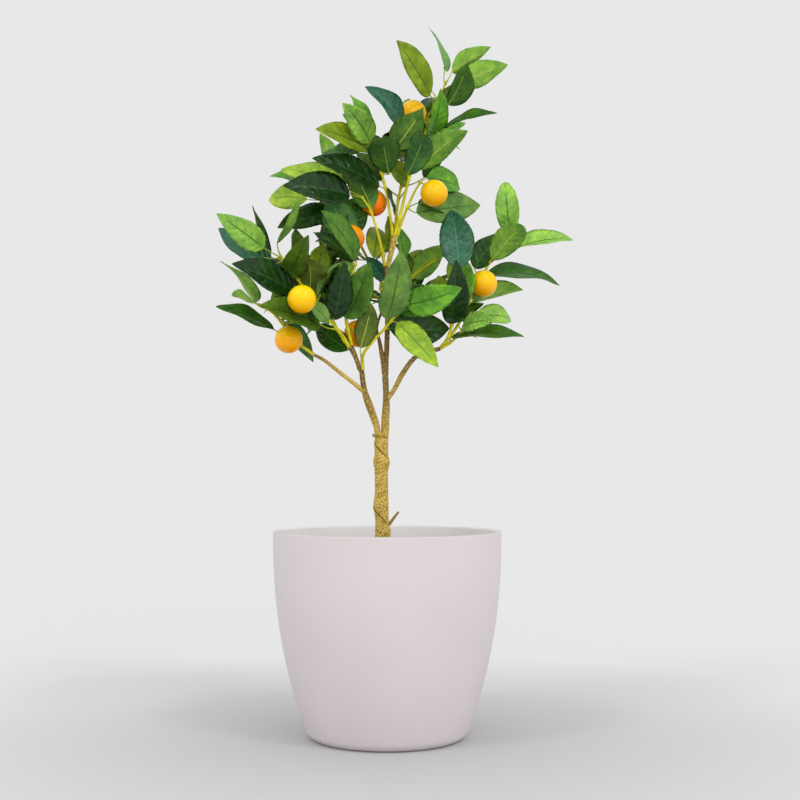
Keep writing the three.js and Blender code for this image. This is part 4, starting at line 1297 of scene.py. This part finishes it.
# The ellipsoid in which a mass grows on: its own, or one round its leaves and stem.
def massSpace(name, mass):
    places = [midribPoints(leaf) for leaf in placedLeaves if leaf["mass"] == name]
    places = np.concatenate(places + [np.array(mass["stem"], float)])
    middle, extent = (places.max(0) + places.min(0)) / 2, (places.max(0) - places.min(0)) / 2
    own = {"centre": middle, "radii": np.maximum(extent * fineRule["growth"], fineRule["reach"])}
    return mass.get("space", own)


# The source's rule carried on to finer twigs: each starts on the stem or a twig of its mass,
# leads off it at random and bears leaves set round it by the golden angle. A leaf grows where it
# stays within the mass, clear of the others, and behind the sprays in front of it.
def growFine(name, mass, cover, random):
    space = massSpace(name, mass)
    limbs = [mass["stem"]] + [(foot, tip) for other, foot, tip in grownTwigs if other == name]
    for _ in range(fineRule["tries"]):
        limb = limbs[random.integers(len(limbs))]
        foot = curvePoints(limb, random.uniform(*fineRule["from"]))[0]
        outwards = unit(foot - space["centre"]) * fineRule["outwards"]
        along = unit(random.normal(size=3) + outwards + [0, 0, fineRule["rise"]])
        length = random.uniform(*fineRule["length"])
        across = unit(np.cross(along, askew))
        start = random.uniform(0, 2 * np.pi)
        tone = sprayTones[random.integers(len(sprayTones))]
        leaves = []
        for k in range(fineRule["leaves"]):
            spin = start + k * np.radians(goldenAngle)
            leaf = twigLeaf(name, fineRule, foot, along, length, across, k, spin, random.uniform)
            leaf["length"] = random.uniform(*fineRule["sizes"])
            leaf["tone"] = tone
            offFruit = isOff(midribPoints(leaf), fruitPlaces, fruit["radius"] + fineRule["fruitGap"])
            if (offFruit and isClear(leaf, space, "", fineRule["clearance"])
                    and isHidden(leaf, fineRule, cover)):
                leaves.append(leaf)
        twig = [foot, foot + along * length]
        if leaves and hiddenShare(curvePoints(twig, fineRule["twigPlaces"]), cover) == 1:
            addStem(twig, fineRule["radii"], fineRule["knots"], greenSleeve)
            for leaf in leaves:
                placedLeaves.append(leaf)
                addLeaf(leaf, blade["hiddenGrid"], random)


print("growing the foliage")
random = np.random.default_rng(2)
lastLeft = "foliage_centre"  # the last mass whose leaves are in the first piece
for name, mass in masses.items():
    growMass(name, mass, random)
    if name == lastLeft:
        firstHalf = len(leafParts)
shown = frontCover()
for name, mass in masses.items():
    growFine(name, mass, shown, random)
print(f"{len(leafParts)} leaves")

massNames = list(masses)
split = massNames.index(lastLeft) + 1
makePiece("leaves_left", leafParts[:firstHalf], leafMaterials, massNames[:split], "blade")
makePiece("leaves_right", leafParts[firstHalf:], leafMaterials, massNames[split:], "blade")
makePiece("leaf_stems", stemParts, stemMaterials)
makePiece("calamondins", fruitParts, [fruitMaterial()], (), "skin")
